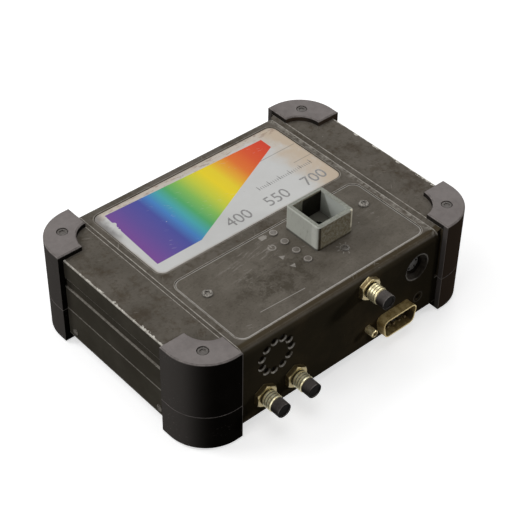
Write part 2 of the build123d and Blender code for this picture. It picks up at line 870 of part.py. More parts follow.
def contact_places():
    """Five contacts in the upper row and four below, as places on the front."""
    upper = [(dsub_x + (i - 2) * contact_pitch, dsub_height + contact_row) for i in range(5)]
    lower = [(dsub_x + (i - 1.5) * contact_pitch, dsub_height - contact_row) for i in range(4)]
    return upper + lower


def dsub_insert():
    """Insulator: a D-shaped plug set back in the shell, and a block behind the flange."""
    face = case_front + dsub_insert_set_back
    insert = facing_front(d_outline(-dsub_shell - optic_fit), dsub_x, dsub_height, face,
                          wall_inner + dsub_flange)
    half_w, half_h = dsub_block_width / 2, dsub_block_height / 2
    insert += block(dsub_x - half_w, dsub_x + half_w, wall_inner + dsub_flange, dsub_block_back,
                    dsub_height - half_h, dsub_height + half_h)
    for x, z in contact_places():
        insert -= rod(x, z, contact_radius, face - 1, dsub_block_back + 1)
    return insert


def dsub_contacts():
    """Nine round pins, with tails that lie along both faces of the main board."""
    front = case_front + dsub_insert_set_back - contact_reach
    pins = []
    for x, z in contact_places():
        contact = rod(x, z, contact_radius, front, dsub_block_back + contact_tail)
        pins.append(fillet(contact.faces().sort_by(Axis.Y)[0].edges(), contact_radius * 0.6))
    return joined(pins)


def dsub_jackscrew():
    """Threaded standoff in the left place; the right place is empty."""
    x = dsub_x - jack_pitch / 2
    jack = rod(x, jack_height, jack_radius, case_front - jack_reach, case_front)
    jack = chamfer(jack.faces().sort_by(Axis.Y)[0].edges(), edge_break / 2)
    jack -= rod(x, jack_height, jack_bore_radius, case_front - jack_reach - 1,
                case_front - jack_reach + jack_bore_depth)
    return jack + rod(x, jack_height, jack_shank_radius, case_front, case_front + jack_shank_length)


socket_seat = case_front + socket_dish_depth + socket_recess


def round_socket_shell():
    """Round shell in the wall whose dish narrows to a short recess, with the insert at its foot."""
    shell = rod(socket_x, socket_height, socket_radius, case_front, case_front + socket_length)
    shell = fillet(shell.faces().sort_by(Axis.Y)[0].edges(), case_fit * 4)
    mouth = socket_radius - socket_lip
    dish = Cone(socket_face_radius, mouth, socket_dish_depth)
    shell -= Pos(socket_x, case_front + socket_dish_depth / 2, socket_height) * Rot(90, 0, 0) * dish
    shell -= rod(socket_x, socket_height, socket_face_radius, case_front, socket_seat)
    back = case_front + socket_length
    return shell - rod(socket_x, socket_height, socket_seat_radius, case_front, back + 1)


def socket_contact_places():
    places = []
    for i in range(socket_contact_count):
        angle = math.radians(90 + i * 360 / socket_contact_count)
        places.append((socket_x + socket_contact_circle * math.cos(angle),
                       socket_height + socket_contact_circle * math.sin(angle)))
    return places


def round_socket_insert():
    """Insulator that fills the shell's bore, set back a little from the recess."""
    face = socket_seat + socket_insert_set_back
    insert = rod(socket_x, socket_height, socket_seat_radius - optic_fit, face, case_front + socket_length)
    insert = fillet(insert.faces().sort_by(Axis.Y)[0].edges(), socket_contact_radius)
    for x, z in socket_contact_places():
        insert -= rod(x, z, socket_contact_radius, face - 1, case_front + socket_length + 1)
    return insert


def round_socket_contacts():
    """Contact tubes, each set back in its hole and out behind the insert."""
    front = socket_seat + socket_insert_set_back + socket_contact_depth
    tubes = []
    for x, z in socket_contact_places():
        tubes.append(rod(x, z, socket_contact_radius - optic_fit / 2, front,
                         case_front + socket_length + contact_tail))
    return joined(tubes)


def grille_places():
    places = []
    for i in range(grille_count):
        angle = math.radians(grille_first_angle + i * 360 / grille_count)
        places.append((sounder_x + grille_radius * math.cos(angle),
                       sounder_height + grille_radius * math.sin(angle)))
    return places


def sounder():
    """Round sounder capsule behind the ring of holes, with an open mouth and a flat under the bend."""
    capsule = rod(sounder_x, sounder_height, sounder_radius, wall_inner, wall_inner + sounder_length)
    capsule -= block(sounder_x - sounder_radius, sounder_x + sounder_radius, wall_inner - 1,
                     wall_inner + sounder_length + 1, cover_top - cover_bend - case_fit, cover_top)
    mouth = grille_radius + grille_sink_radius / 2
    capsule -= rod(sounder_x, sounder_height, mouth, wall_inner - 1, wall_inner + sounder_length / 3)
    return capsule


# Boards and battery

def board_post_places():
    x0 = main_board_left + board_post_inset
    x1 = main_board_right - board_post_inset
    y0 = main_board_front + board_post_inset
    y1 = main_board_back - board_post_inset
    return [(x0, y0), (x1, y0), (x0, y1), (x1, y1)]


def main_board():
    """Board on four posts, level with the middle of the D connector."""
    board = block(main_board_left, main_board_right, main_board_front, main_board_back,
                  main_board_bottom, main_board_bottom + board_thickness)
    for x, y in board_post_places():
        board -= post(x, y, board_screw_radius + clear_fit, main_board_bottom - 1,
                      main_board_bottom + board_thickness + 1)
    return board


def board_screws():
    screws = []
    seat = main_board_bottom + board_thickness
    for x, y in board_post_places():
        head = post(x, y, board_head_radius, seat, seat + board_head_height)
        screws.append(head + post(x, y, board_screw_radius, floor_top, seat))
    return joined(screws)


def board_chips():
    """Controller, converter and memory, set out along the middle of the board."""
    seat = main_board_bottom + board_thickness
    chips = []
    middle = (main_board_front + main_board_back) / 2
    for share, size in ((0.25, controller_width), (0.57, converter_width), (0.82, memory_width)):
        x = main_board_left + share * main_board_length
        chips.append(block(x - size / 2, x + size / 2, middle - size / 2, middle + size / 2,
                           seat, seat + chip_height))
    return joined(chips)


def battery_pack():
    pack = block(battery_left, battery_right, battery_front, battery_back,
                 floor_top, floor_top + battery_height)
    return fillet(pack.edges().filter_by(Axis.X), battery_edge)


# Optics

bench_top = floor_top + bench_height
optic_x, optic_z = port_places["centre"]


def bench_screw_places():
    xs = (bench_left + bench_screw_inset, bench_right - bench_screw_inset)
    ys = (bench_front + bench_screw_inset, bench_back - bench_screw_inset)
    return [(x, y) for x in xs for y in ys]


def optics_places():
    """Plan place and facing angle of each optic, from the path of the light.

    Light comes in through the slit, meets the collimating mirror at the back, crosses to the grating,
    goes back to the focusing mirror and ends on the detector. Each optic faces half-way between the
    light that comes and the light that leaves.
    """
    back = bench_back - bench_wall - mirror_inset
    slit = (optic_x, bench_front)
    collimating = (optic_x, back)
    grating_at = (grating_x, grating_y)
    focusing = (bench_left + bench_wall + focusing_inset_x, back)
    detector = (detector_x, bench_front + bench_wall)

    def facing(here, before, after):
        a = math.atan2(before[1] - here[1], before[0] - here[0])
        b = math.atan2(after[1] - here[1], after[0] - here[0])
        return math.degrees((a + b) / 2)

    return {
        "collimating": (*collimating, facing(collimating, slit, grating_at)),
        "grating": (*grating_at, facing(grating_at, collimating, focusing)),
        "focusing": (*focusing, facing(focusing, grating_at, detector)),
    }


def optic_at(name, piece):
    """Places a piece that is drawn facing +X at its optic's spot."""
    x, y, angle = optics_places()[name]
    return Pos(x, y, optic_z) * Rot(0, 0, angle) * piece


def optic_bracket(name, width, thickness):
    """Upright of the bench that carries an optic on its back face."""
    x, y, angle = optics_places()[name]
    floor = floor_top + bench_floor
    height = bench_top - floor - bench_floor / 2
    bracket = Box(mirror_back, width, height, align=(Align.MAX, Align.CENTER, Align.MIN))
    return Pos(x, y, floor) * Rot(0, 0, angle) * Pos(-thickness - mirror_seat, 0, 0) * bracket


def optical_bench():
    """Milled tray with a bore for the slit tube and uprights for the optics."""
    bench = block(bench_left, bench_right, bench_front, bench_back, floor_top, bench_top)
    bench -= block(bench_left + bench_wall, bench_right - bench_wall, bench_front + bench_wall,
                   bench_back - bench_wall, floor_top + bench_floor, bench_top + 1)
    bench += optic_bracket("collimating", mirror_width, mirror_thickness)
    bench += optic_bracket("focusing", mirror_width, mirror_thickness)
    bench += optic_bracket("grating", grating_width, grating_thickness)
    for x, y in bench_screw_places():
        bench += block(x - bench_screw_inset, x + bench_screw_inset, y - bench_screw_inset,
                       y + bench_screw_inset, floor_top, bench_top)
        bench -= post(x, y, bench_screw_radius + clear_fit, floor_top - 1, bench_top + 1)
    bench &= block(bench_left, bench_right, bench_front, bench_back, floor_top, bench_top)
    return bench - rod(optic_x, optic_z, slit_tube_radius + case_fit, bench_front - 1,
                       bench_front + bench_wall + 1)


def bench_lid():
    lid = block(bench_left, bench_right, bench_front, bench_back, bench_top, bench_top + bench_lid_thickness)
    for x, y in bench_screw_places():
        lid -= post(x, y, bench_screw_radius + clear_fit, bench_top - 1, bench_top + bench_lid_thickness + 1)
    return lid


def bench_screws():
    """Long screws that hold the lid and the bench down to the tray."""
    screws = []
    seat = bench_top + bench_lid_thickness
    for x, y in bench_screw_places():
        head = post(x, y, bench_head_radius, seat, seat + bench_head_height)
        screws.append(head + post(x, y, bench_screw_radius, case_bottom + floor_thickness / 3, seat))
    return joined(screws)


def mirror_block():
    """Rectangular mirror drawn facing +X, with a hollow face."""
    body = Box(mirror_thickness, mirror_width, mirror_height, align=(Align.MAX, Align.CENTER, Align.CENTER))
    sag = mirror_curve - math.sqrt(mirror_curve**2 - (mirror_width / 2) ** 2)
    return body - Pos(mirror_curve - sag, 0, 0) * Cylinder(mirror_curve, mirror_height * 2)


def grating():
    """Ruled block; its rulings are finer than the model shows."""
    body = Box(grating_thickness, grating_width, mirror_height, align=(Align.MAX, Align.CENTER, Align.CENTER))
    return optic_at("grating", body)


slit_tube_radius = port_tube_radius + case_fit + slit_tube_wall


def slit_tube():
    """Tube from the middle port to the bench, with a seat for the slit disc."""
    front = wall_inner + port_shoulder_length + case_fit
    back = bench_front + bench_wall
    tube = rod(optic_x, optic_z, slit_tube_radius, front, back)
    tube -= rod(optic_x, optic_z, port_tube_radius + case_fit, front - 1, back - slit_thickness)
    return tube - rod(optic_x, optic_z, port_bore, front, back + 1)


def entrance_slit():
    """Thin disc with an upright slot, against the tube's inner end."""
    back = bench_front + bench_wall - slit_thickness
    disc = rod(optic_x, optic_z, port_tube_radius, back - slit_thickness, back)
    half_w, half_h = slit_width / 2, slit_length / 2
    return disc - block(optic_x - half_w, optic_x + half_w, back - 1, back + 1,
                        optic_z - half_h, optic_z + half_h)


def detector_board():
    """Small board on the inside of the bench's front wall."""
    half = detector_board_length / 2
    face = bench_front + bench_wall
    right = min(detector_x + half, optic_x - slit_tube_radius - clear_fit)
    return block(detector_x - half, right, face, face + board_thickness / 2,
                 floor_top + bench_floor, optic_z + mirror_height / 2)


def detector_array():
    face = bench_front + bench_wall + board_thickness / 2
    half_w, half_h = detector_length / 2, detector_height / 2
    return block(detector_x - half_w, detector_x + half_w, face, face + detector_thickness,
                 optic_z - half_h, optic_z + half_h)


lamp_x, lamp_z = port_places["left"]
lamp_front = wall_inner + lamp_housing_front
lamp_back = lamp_front + lamp_housing_depth
lamp_base_front = lamp_back - lamp_base_length


def lamp_housing():
    """Block behind the left port, bored for the lamp from behind and for the port's tube in front."""
    half = lamp_housing_width / 2
    housing = block(lamp_x - half, lamp_x + half, lamp_front, lamp_back,
                    floor_top, floor_top + lamp_housing_height)
    chamber = lamp_base_front - lamp_bulb_length - lamp_bulb_gap
    housing -= rod(lamp_x, lamp_z, lamp_base_radius + case_fit, chamber, lamp_back + 1)
    return housing - rod(lamp_x, lamp_z, port_tube_radius + case_fit, lamp_front - 1, chamber + 1)


def lamp_capsule():
    """Lamp with a round base and a domed bulb."""
    base = rod(lamp_x, lamp_z, lamp_base_radius, lamp_base_front, lamp_back)
    bulb = rod(lamp_x, lamp_z, lamp_bulb_radius, lamp_base_front - lamp_bulb_length, lamp_base_front)
    bulb = fillet(bulb.faces().sort_by(Axis.Y)[0].edges(), lamp_bulb_radius * 0.8)
    return base + bulb


# Every node by name
nodes = {
    "base_tray": base_tray(),
    "top_cover": top_cover(),
    "label_plate": label_plate(),
    "keypad_overlay": keypad_overlay(),
    "bumper_screws": bumper_screws(),
    "side_screws": side_screws(),
    "panel_screws": panel_screws(),
    "key_switches": key_switches(),
    "key_board": key_board(),
    "indicator_lens": indicator_lens(),
    "indicator_board": indicator_board(),
    "cuvette_holder": cuvette_holder(),
    "well_window": well_window(),
    "fold_mirror": fold_mirror(),
    "fibre_nuts": fibre_nuts(),
    "dsub_shell": dsub_shell_piece(),
    "dsub_flange": dsub_flange_piece(),
    "dsub_insert": dsub_insert(),
    "dsub_contacts": dsub_contacts(),
    "dsub_jackscrew": dsub_jackscrew(),
    "round_socket_shell": round_socket_shell(),
    "round_socket_insert": round_socket_insert(),
    "round_socket_contacts": round_socket_contacts(),
    "sounder": sounder(),
    "main_board": main_board(),
    "board_screws": board_screws(),
    "board_chips": board_chips(),
    "battery_pack": battery_pack(),
    "optical_bench": optical_bench(),
    "bench_lid": bench_lid(),
    "bench_screws": bench_screws(),
    "collimating_mirror": optic_at("collimating", mirror_block()),
    "focusing_mirror": optic_at("focusing", mirror_block()),
    "grating": grating(),
    "slit_tube": slit_tube(),
    "entrance_slit": entrance_slit(),
    "detector_board": detector_board(),
    "detector_array": detector_array(),
    "lamp_housing": lamp_housing(),
    "lamp_capsule": lamp_capsule(),
}
for side, sign in SIDES.items():
    nodes[f"side_frame_{side}"] = side_frame(sign)
for corner, (sx, sy) in CORNERS.items():
    nodes[f"bumper_upper_{corner}"] = bumper_half(sx, sy, True)
    nodes[f"bumper_lower_{corner}"] = bumper_half(sx, sy, False)
for index, name in enumerate(("battery", "power", "start", "down")):
    nodes[f"button_{name}"] = button(index)
for side in port_places:
    nodes[f"fibre_port_{side}"] = fibre_port(side)
    nodes[f"dust_cap_{side}"] = dust_cap(side)

os.makedirs("parts", exist_ok=True)
for name, shape in nodes.items():
    export_step(Pos(0, origin_shift, 0) * shape, f"parts/{name}.step")
print(len(nodes), "nodes, origin shift", round(origin_shift, 3))
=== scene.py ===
import math

import bpy
from mathutils import Matrix, Vector


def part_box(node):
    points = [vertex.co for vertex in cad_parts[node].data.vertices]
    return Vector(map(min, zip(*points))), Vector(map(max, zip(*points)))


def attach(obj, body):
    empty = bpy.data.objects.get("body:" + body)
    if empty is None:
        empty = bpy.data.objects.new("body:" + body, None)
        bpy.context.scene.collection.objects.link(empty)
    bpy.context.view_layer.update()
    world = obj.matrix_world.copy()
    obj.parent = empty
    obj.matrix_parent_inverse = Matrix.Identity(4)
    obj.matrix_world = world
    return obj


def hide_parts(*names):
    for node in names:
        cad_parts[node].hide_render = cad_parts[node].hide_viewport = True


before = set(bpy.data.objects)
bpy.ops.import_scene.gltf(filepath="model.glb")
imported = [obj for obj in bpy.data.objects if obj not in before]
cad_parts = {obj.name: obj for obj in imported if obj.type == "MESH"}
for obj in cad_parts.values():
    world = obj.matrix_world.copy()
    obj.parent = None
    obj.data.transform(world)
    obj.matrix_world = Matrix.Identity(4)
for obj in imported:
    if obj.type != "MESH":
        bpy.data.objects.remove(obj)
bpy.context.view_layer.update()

# Lengths are in millimetres, and MM turns them into metres. Lights, floor and camera are in metres.
MM = 0.001


def paint(red, green, blue):
    """A colour as it is seen on a screen, 0 to 255, made linear for the shaders."""
    def linear(level):
        level = level / 255
        return level / 12.92 if level <= 0.04045 else ((level + 0.055) / 1.055) ** 2.4
    return (linear(red), linear(green), linear(blue), 1.0)


# Places on the object, read from the frame

def node_box_mm(name):
    low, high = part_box(name)
    return Vector(low) * 1000, Vector(high) * 1000


case_low, case_high = node_box_mm("base_tray")
cover_low, cover_high = node_box_mm("top_cover")
label_low, label_high = node_box_mm("label_plate")
keypad_low, keypad_high = node_box_mm("keypad_overlay")
holder_low, holder_high = node_box_mm("cuvette_holder")
socket_low, socket_high = node_box_mm("round_socket_shell")
rim_top = node_box_mm("side_frame_left")[1].z
case_middle_y = (case_low.y + case_high.y) / 2
front_y = cover_low.y
bumper_seam = node_box_mm("bumper_lower_front_left")[1].z
bumper_low, bumper_high = node_box_mm("bumper_upper_rear_right")


# Sizes of the object's details

keypad_corner_mm = 3.6
keypad_rim_corner_mm = 3.5
label_corner_mm = 3.0
label_rim_corner_mm = 3.1
holder_flange_mm = 1.5
holder_wall_mm = 1.6
thread_pitch_mm = 1.05
thread_turns = 4
thread_crest_mm = 3.17
thread_root_mm = 2.78
thread_overlap_mm = 0.02
thread_steps = 36
weld_distance = 1e-6
key_ring_radius_mm = 1.3
shell_wall_mm = 0.7
shell_corner_mm = 1.8
socket_lip_radius_mm = 5.35
socket_seat_radius_mm = 4.1
bare_hole_radius_mm = 2.1

# The ring of sound holes: its middle in X and Z, and the turn of its first hole in degrees
sound_ring_mm = (-30.46, 26.6)
sound_ring_radius_mm = 6.53
sound_hole_radius_mm = 1.4
sound_holes = 11
sound_first_turn = 99.3

# Worn lines of the casing: the lip's distance from the middle in X, the others' heights
frame_lip_mm = 46.8
channel_low_mm, channel_high_mm = 25.5, 30.0
frame_foot_mm = 16.05
tray_bend_mm = 4.0
tray_seam_mm = 15.7

# Print on the label and the keypad, with Y counted from the middle of the case
print_height_mm = 0.03
print_lift_mm = 0.01
spectrum_left, spectrum_right = -37.75, 33.4
spectrum_front, spectrum_rear = 6.1, 36.9
spectrum_corner = -19.9
spectrum_slope = 0.4513
spectrum_fall = 0.03
torn_end_lean = 0.05
torn_end_rear = 36.0
torn_end_middle = 21.0
rule_width_mm = 0.24
rules_mm = (((24.6, 26.2), (41.2, 26.2)), ((33.5, 17.6), (42.0, 17.6)))
figures = ("400", "550", "700")
figure_size_mm = 7.2
figure_place_mm = (-8.0, 4.3)
figure_spacing_mm = 17.9
tick_place_mm = (13.4, 13.4)
tick_width_mm = 0.22
tick_row_mm = 25.0
tick_rows_mm = (("label_ticks_short", 1.0, 1.3), ("label_ticks_long", 5.0, 2.4))
battery_sign_mm = ((-4.7, -7.8), (-2.1, -5.7))
battery_tip_mm = ((-2.2, -7.2), (-1.6, -6.3))
power_sign_mm = (-4.3, -12.65)
power_sign_radius_mm = 1.3
start_sign_mm = (-4.55, -18.6)
down_sign_mm = (-4.75, -24.5)
triangle_half_mm = 1.15
lamp_sign_mm = (14.7, -28.9)
lamp_sign_radius_mm = 1.55
lamp_rays = 6
lamp_ray_mm = (2.3, 2.9)
long_scratch_mm = ((-28.3, -34.1), (-9.5, -35.0))
brown_patch_mm = (-13.0, -26.0)
scuffed_patch_mm = (-14.0, -12.0)


class Amount:
    """A number that varies over a surface. Arithmetic on amounts adds Math nodes."""

    def __init__(self, finish, socket):
        self.finish = finish
        self.socket = socket

    def __add__(self, other):
        return self.finish.math("ADD", self, other)

    def __sub__(self, other):
        return self.finish.math("SUBTRACT", self, other)

    def __rsub__(self, other):
        return self.finish.math("SUBTRACT", other, self)

    def __mul__(self, other):
        return self.finish.math("MULTIPLY", self, other)

    def __truediv__(self, other):
        return self.finish.math("DIVIDE", self, other)

    def __neg__(self):
        return self.finish.math("MULTIPLY", self, -1.0)

    __radd__ = __add__
    __rmul__ = __mul__


def add_node(tree, kind, settings=None, inputs=None):
    """Adds a node: its settings or a ramp's stops first, then the values or links of its sockets."""
    made = tree.nodes.new(kind)
    for key, value in (settings or {}).items():
        if key == "stops":
            ramp = made.color_ramp
            while len(ramp.elements) < len(value):
                ramp.elements.new(1.0)
            for element, (position, colour) in zip(ramp.elements, value):
                element.position = position
                element.color = colour
        else:
            setattr(made, key, value)
    for key, value in (inputs or {}).items():
        feed(tree, made.inputs[key], value)
    return made


def feed(tree, entry, value):
    """Links an amount or a socket into another socket, or sets a plain value there."""
    source = value.socket if isinstance(value, Amount) else value
    if isinstance(source, bpy.types.NodeSocket):
        tree.links.new(source, entry)
    else:
        entry.default_value = source


class Finish:
    """One material: a Principled shader and the patterns that vary over the object's own coordinates."""

    def __init__(self, name, roughness=0.6, metallic=0.0, specular=0.5):
        self.material = bpy.data.materials.new(name)
        self.material.use_nodes = True
        self.tree = self.material.node_tree
        self.shader = self.tree.nodes["Principled BSDF"]
        self.shader.inputs["Roughness"].default_value = roughness
        self.shader.inputs["Metallic"].default_value = metallic
        self.shader.inputs["Specular IOR Level"].default_value = specular
        place = self.node("ShaderNodeTexCoord").outputs["Object"]
        self.place = self.vector("SCALE", place, scale=1 / MM)
        axes = self.node("ShaderNodeSeparateXYZ", inputs={"Vector": self.place})
        self.x, self.y, self.z = (Amount(self, axes.outputs[axis]) for axis in "XYZ")
        facing = self.node("ShaderNodeNewGeometry").outputs["Normal"]
        turns = self.node("ShaderNodeSeparateXYZ", inputs={"Vector": facing})
        self.right, self.rear, self.up = (Amount(self, turns.outputs[axis]) for axis in "XYZ")

    def node(self, kind, settings=None, inputs=None):
        return add_node(self.tree, kind, settings, inputs)

    def math(self, operation, first, second=0.0, third=None):
        inputs = {0: first, 1: second}
        if third is not None:
            inputs[2] = third
        made = self.node("ShaderNodeMath", {"operation": operation}, inputs)
        return Amount(self, made.outputs[0])

    def vector(self, operation, first, second=None, scale=None):
        inputs = {0: first}
        if second is not None:
            inputs[1] = second
        if scale is not None:
            inputs["Scale"] = scale
        return self.node("ShaderNodeVectorMath", {"operation": operation}, inputs).outputs[0]

    def least(self, *amounts):
        found = amounts[0]
        for amount in amounts[1:]:
            found = self.math("MINIMUM", found, amount)
        return found

    def most(self, *amounts):
        found = amounts[0]
        for amount in amounts[1:]:
            found = self.math("MAXIMUM", found, amount)
        return found

    def size(self, amount):
        return self.math("ABSOLUTE", amount)

    def root(self, amount):
        return self.math("SQRT", amount)

    def step(self, amount, start, end):
        """0 before start and 1 after end, with a soft change between. Start may be above end."""
        made = self.node("ShaderNodeMapRange", {"interpolation_type": "SMOOTHSTEP"},
                         {"Value": amount, "From Min": start, "From Max": end})
        return Amount(self, made.outputs["Result"])

    def stretched(self, stretch, turn=0.0):
        """The place with its axes scaled, and turned about Z before that."""
        turned = self.node("ShaderNodeMapping", {"vector_type": "POINT"},
                           {"Vector": self.place, "Rotation": (0.0, 0.0, turn)}).outputs[0]
        return self.node("ShaderNodeMapping", {"vector_type": "POINT"},
                         {"Vector": turned, "Scale": stretch}).outputs[0]

    def noise(self, grain_mm, detail=3.0, rough=0.55, place=None, shift=0.0):
        """Cloudy noise about 0.5 with lumps of this size."""
        spot = self.vector("ADD", place or self.place, (shift, shift * 1.7, shift * 0.6))
        made = self.node("ShaderNodeTexNoise", {"noise_dimensions": "3D"},
                         {"Vector": spot, "Scale": 1 / grain_mm, "Detail": detail, "Roughness": rough})
        return Amount(self, made.outputs["Fac"])

    def specks(self, spacing_mm, radius_mm, shift=0.0):
        """Small round specks, one to a cell."""
        spot = self.vector("ADD", self.place, (shift, shift, shift))
        made = self.node("ShaderNodeTexVoronoi", {"feature": "F1"},
                         {"Vector": spot, "Scale": 1 / spacing_mm, "Randomness": 1.0})
        cell = self.node("ShaderNodeSeparateXYZ", inputs={"Vector": made.outputs["Color"]})
        few = self.step(Amount(self, cell.outputs["X"]), 0.55, 0.8)
        edge = radius_mm / spacing_mm
        return few * self.step(Amount(self, made.outputs["Distance"]), edge, edge * 0.5)

    def scratches(self, spacing_mm, length, turn, shift, rare=0.68):
        """Fine straight scratches that run along one direction."""
        along = self.stretched((1 / length, 1.0, 1.0), turn)
        fine = self.noise(spacing_mm, 1.0, 0.4, along, shift)
        patch = self.step(self.noise(14.0, 1.0, 0.5, None, shift + 40), 0.48, 0.62)
        return self.step(fine, rare, rare + 0.04) * patch

    def blend(self, first, second, amount):
        """From the first colour to the second as the amount goes from 0 to 1."""
        made = self.node("ShaderNodeMix", {"data_type": "RGBA", "clamp_factor": True},
                         {0: amount, 6: first, 7: second})
        return made.outputs[2]

    def ramp(self, amount, stops):
        return self.node("ShaderNodeValToRGB", {"stops": stops}, {"Fac": amount}).outputs["Color"]

    def colour(self, colour):
        feed(self.tree, self.shader.inputs["Base Color"], colour)

    def roughness(self, amount):
        feed(self.tree, self.shader.inputs["Roughness"], amount)

    def metallic(self, amount):
        feed(self.tree, self.shader.inputs["Metallic"], amount)

    def bump(self, height, depth_mm, strength=1.0):
        """Height from 0 to 1 raised by this depth."""
        made = self.node("ShaderNodeBump", None,
                         {"Strength": strength, "Distance": depth_mm * MM, "Height": height})
        feed(self.tree, self.shader.inputs["Normal"], made.outputs["Normal"])

    # Outlines in the plan: distances in millimetres, negative inside

    def disc(self, x, y, radius, across=None, along=None):
        """Distance to a circle in the plan, or in another pair of coordinates."""
        u = (across or self.x) - x
        v = (along or self.y) - y
        return self.root(u * u + v * v) - radius

    def patch(self, place, flatten, far, near, along):
        """1 within the near distance of a place and 0 past the far one, flatter along the second axis."""
        u, v = self.x - place[0], (along - place[1]) * flatten
        return self.step(self.root(u * u + v * v), far, near)

    def panel(self, low, high, corner, across=None, along=None):
        """Distance to a rectangle with round corners."""
        middle_u, middle_v = (low[0] + high[0]) / 2, (low[1] + high[1]) / 2
        half_u, half_v = (high[0] - low[0]) / 2 - corner, (high[1] - low[1]) / 2 - corner
        u = self.size((across or self.x) - middle_u) - half_u
        v = self.size((along or self.y) - middle_v) - half_v
        out_u, out_v = self.most(u, 0.0), self.most(v, 0.0)
        return self.root(out_u * out_u + out_v * out_v) + self.least(self.most(u, v), 0.0) - corner

    def stroke(self, start, end, across=None, along=None):
        """Distance to a straight stroke between two points."""
        dx, dy = end[0] - start[0], end[1] - start[1]
        length = dx * dx + dy * dy
        u = (across or self.x) - start[0]
        v = (along or self.y) - start[1]
        share = self.most(self.least((u * dx + v * dy) / length, 1.0), 0.0)
        off_u, off_v = u - share * dx, v - share * dy
        return self.root(off_u * off_u + off_v * off_v)

    def ink(self, distance, soft=0.12):
        """1 inside an outline and 0 outside."""
        return self.step(distance, soft, -soft)

    def line(self, distance, half_width, soft=0.1):
        """1 on an outline and 0 away from it."""
        return self.step(self.size(distance), half_width + soft, half_width - soft)


def dress(name, finish):
    """Gives a CAD node its material."""
    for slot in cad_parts[name].material_slots:
        slot.material = finish.material


# Finishes

side_paint = paint(72, 68, 60)
side_faded = paint(91, 87, 78)
# Darker, browner copies of the paint for the front faces are painted shade; the brown one also colours brown
# blots and the painted shade at the front bend.
front_shaded_paint = paint(61, 55, 43)
brown_blots_and_shade = paint(72, 63, 48)
front_deep_shade = paint(38, 33, 24)
dust_and_sheen = paint(112, 106, 98)
rust_stain = paint(66, 56, 44)
brown_film = paint(76, 66, 52)
pale_wear_and_highlight = paint(178, 173, 164)
bare_wear_and_highlight = paint(232, 228, 218)


def lit_sound_hole_lips(finish):
    """1 on the lower lip of each hole in the ring on the front: a painted highlight where the countersink
    faces up toward the light.
    """
    across = finish.x - sound_ring_mm[0]
    above = finish.z - sound_ring_mm[1]
    from_middle = finish.root(across * across + above * above)
    share = 2 * math.pi / sound_holes
    turn = finish.math("ARCTAN2", above, across) - math.radians(sound_first_turn)
    local = finish.math("WRAP", turn, share / 2, -share / 2)
    off_u = from_middle * finish.math("COSINE", local) - sound_ring_radius_mm
    off_v = from_middle * finish.math("SINE", local)
    from_hole = finish.root(off_u * off_u + off_v * off_v)
    hole_height = sound_ring_radius_mm * finish.math("SINE", turn - local + math.radians(sound_first_turn))
    below = finish.step(above - hole_height, 0.5, -0.4)
    broken = 0.5 + 0.5 * finish.step(finish.noise(0.9, 3.0, 0.6, None, 81), 0.4, 0.6)
    rim = finish.line(from_hole - sound_hole_radius_mm, 0.22, 0.16)
    return rim * below * broken * finish.step(finish.rear, -0.2, -0.6)


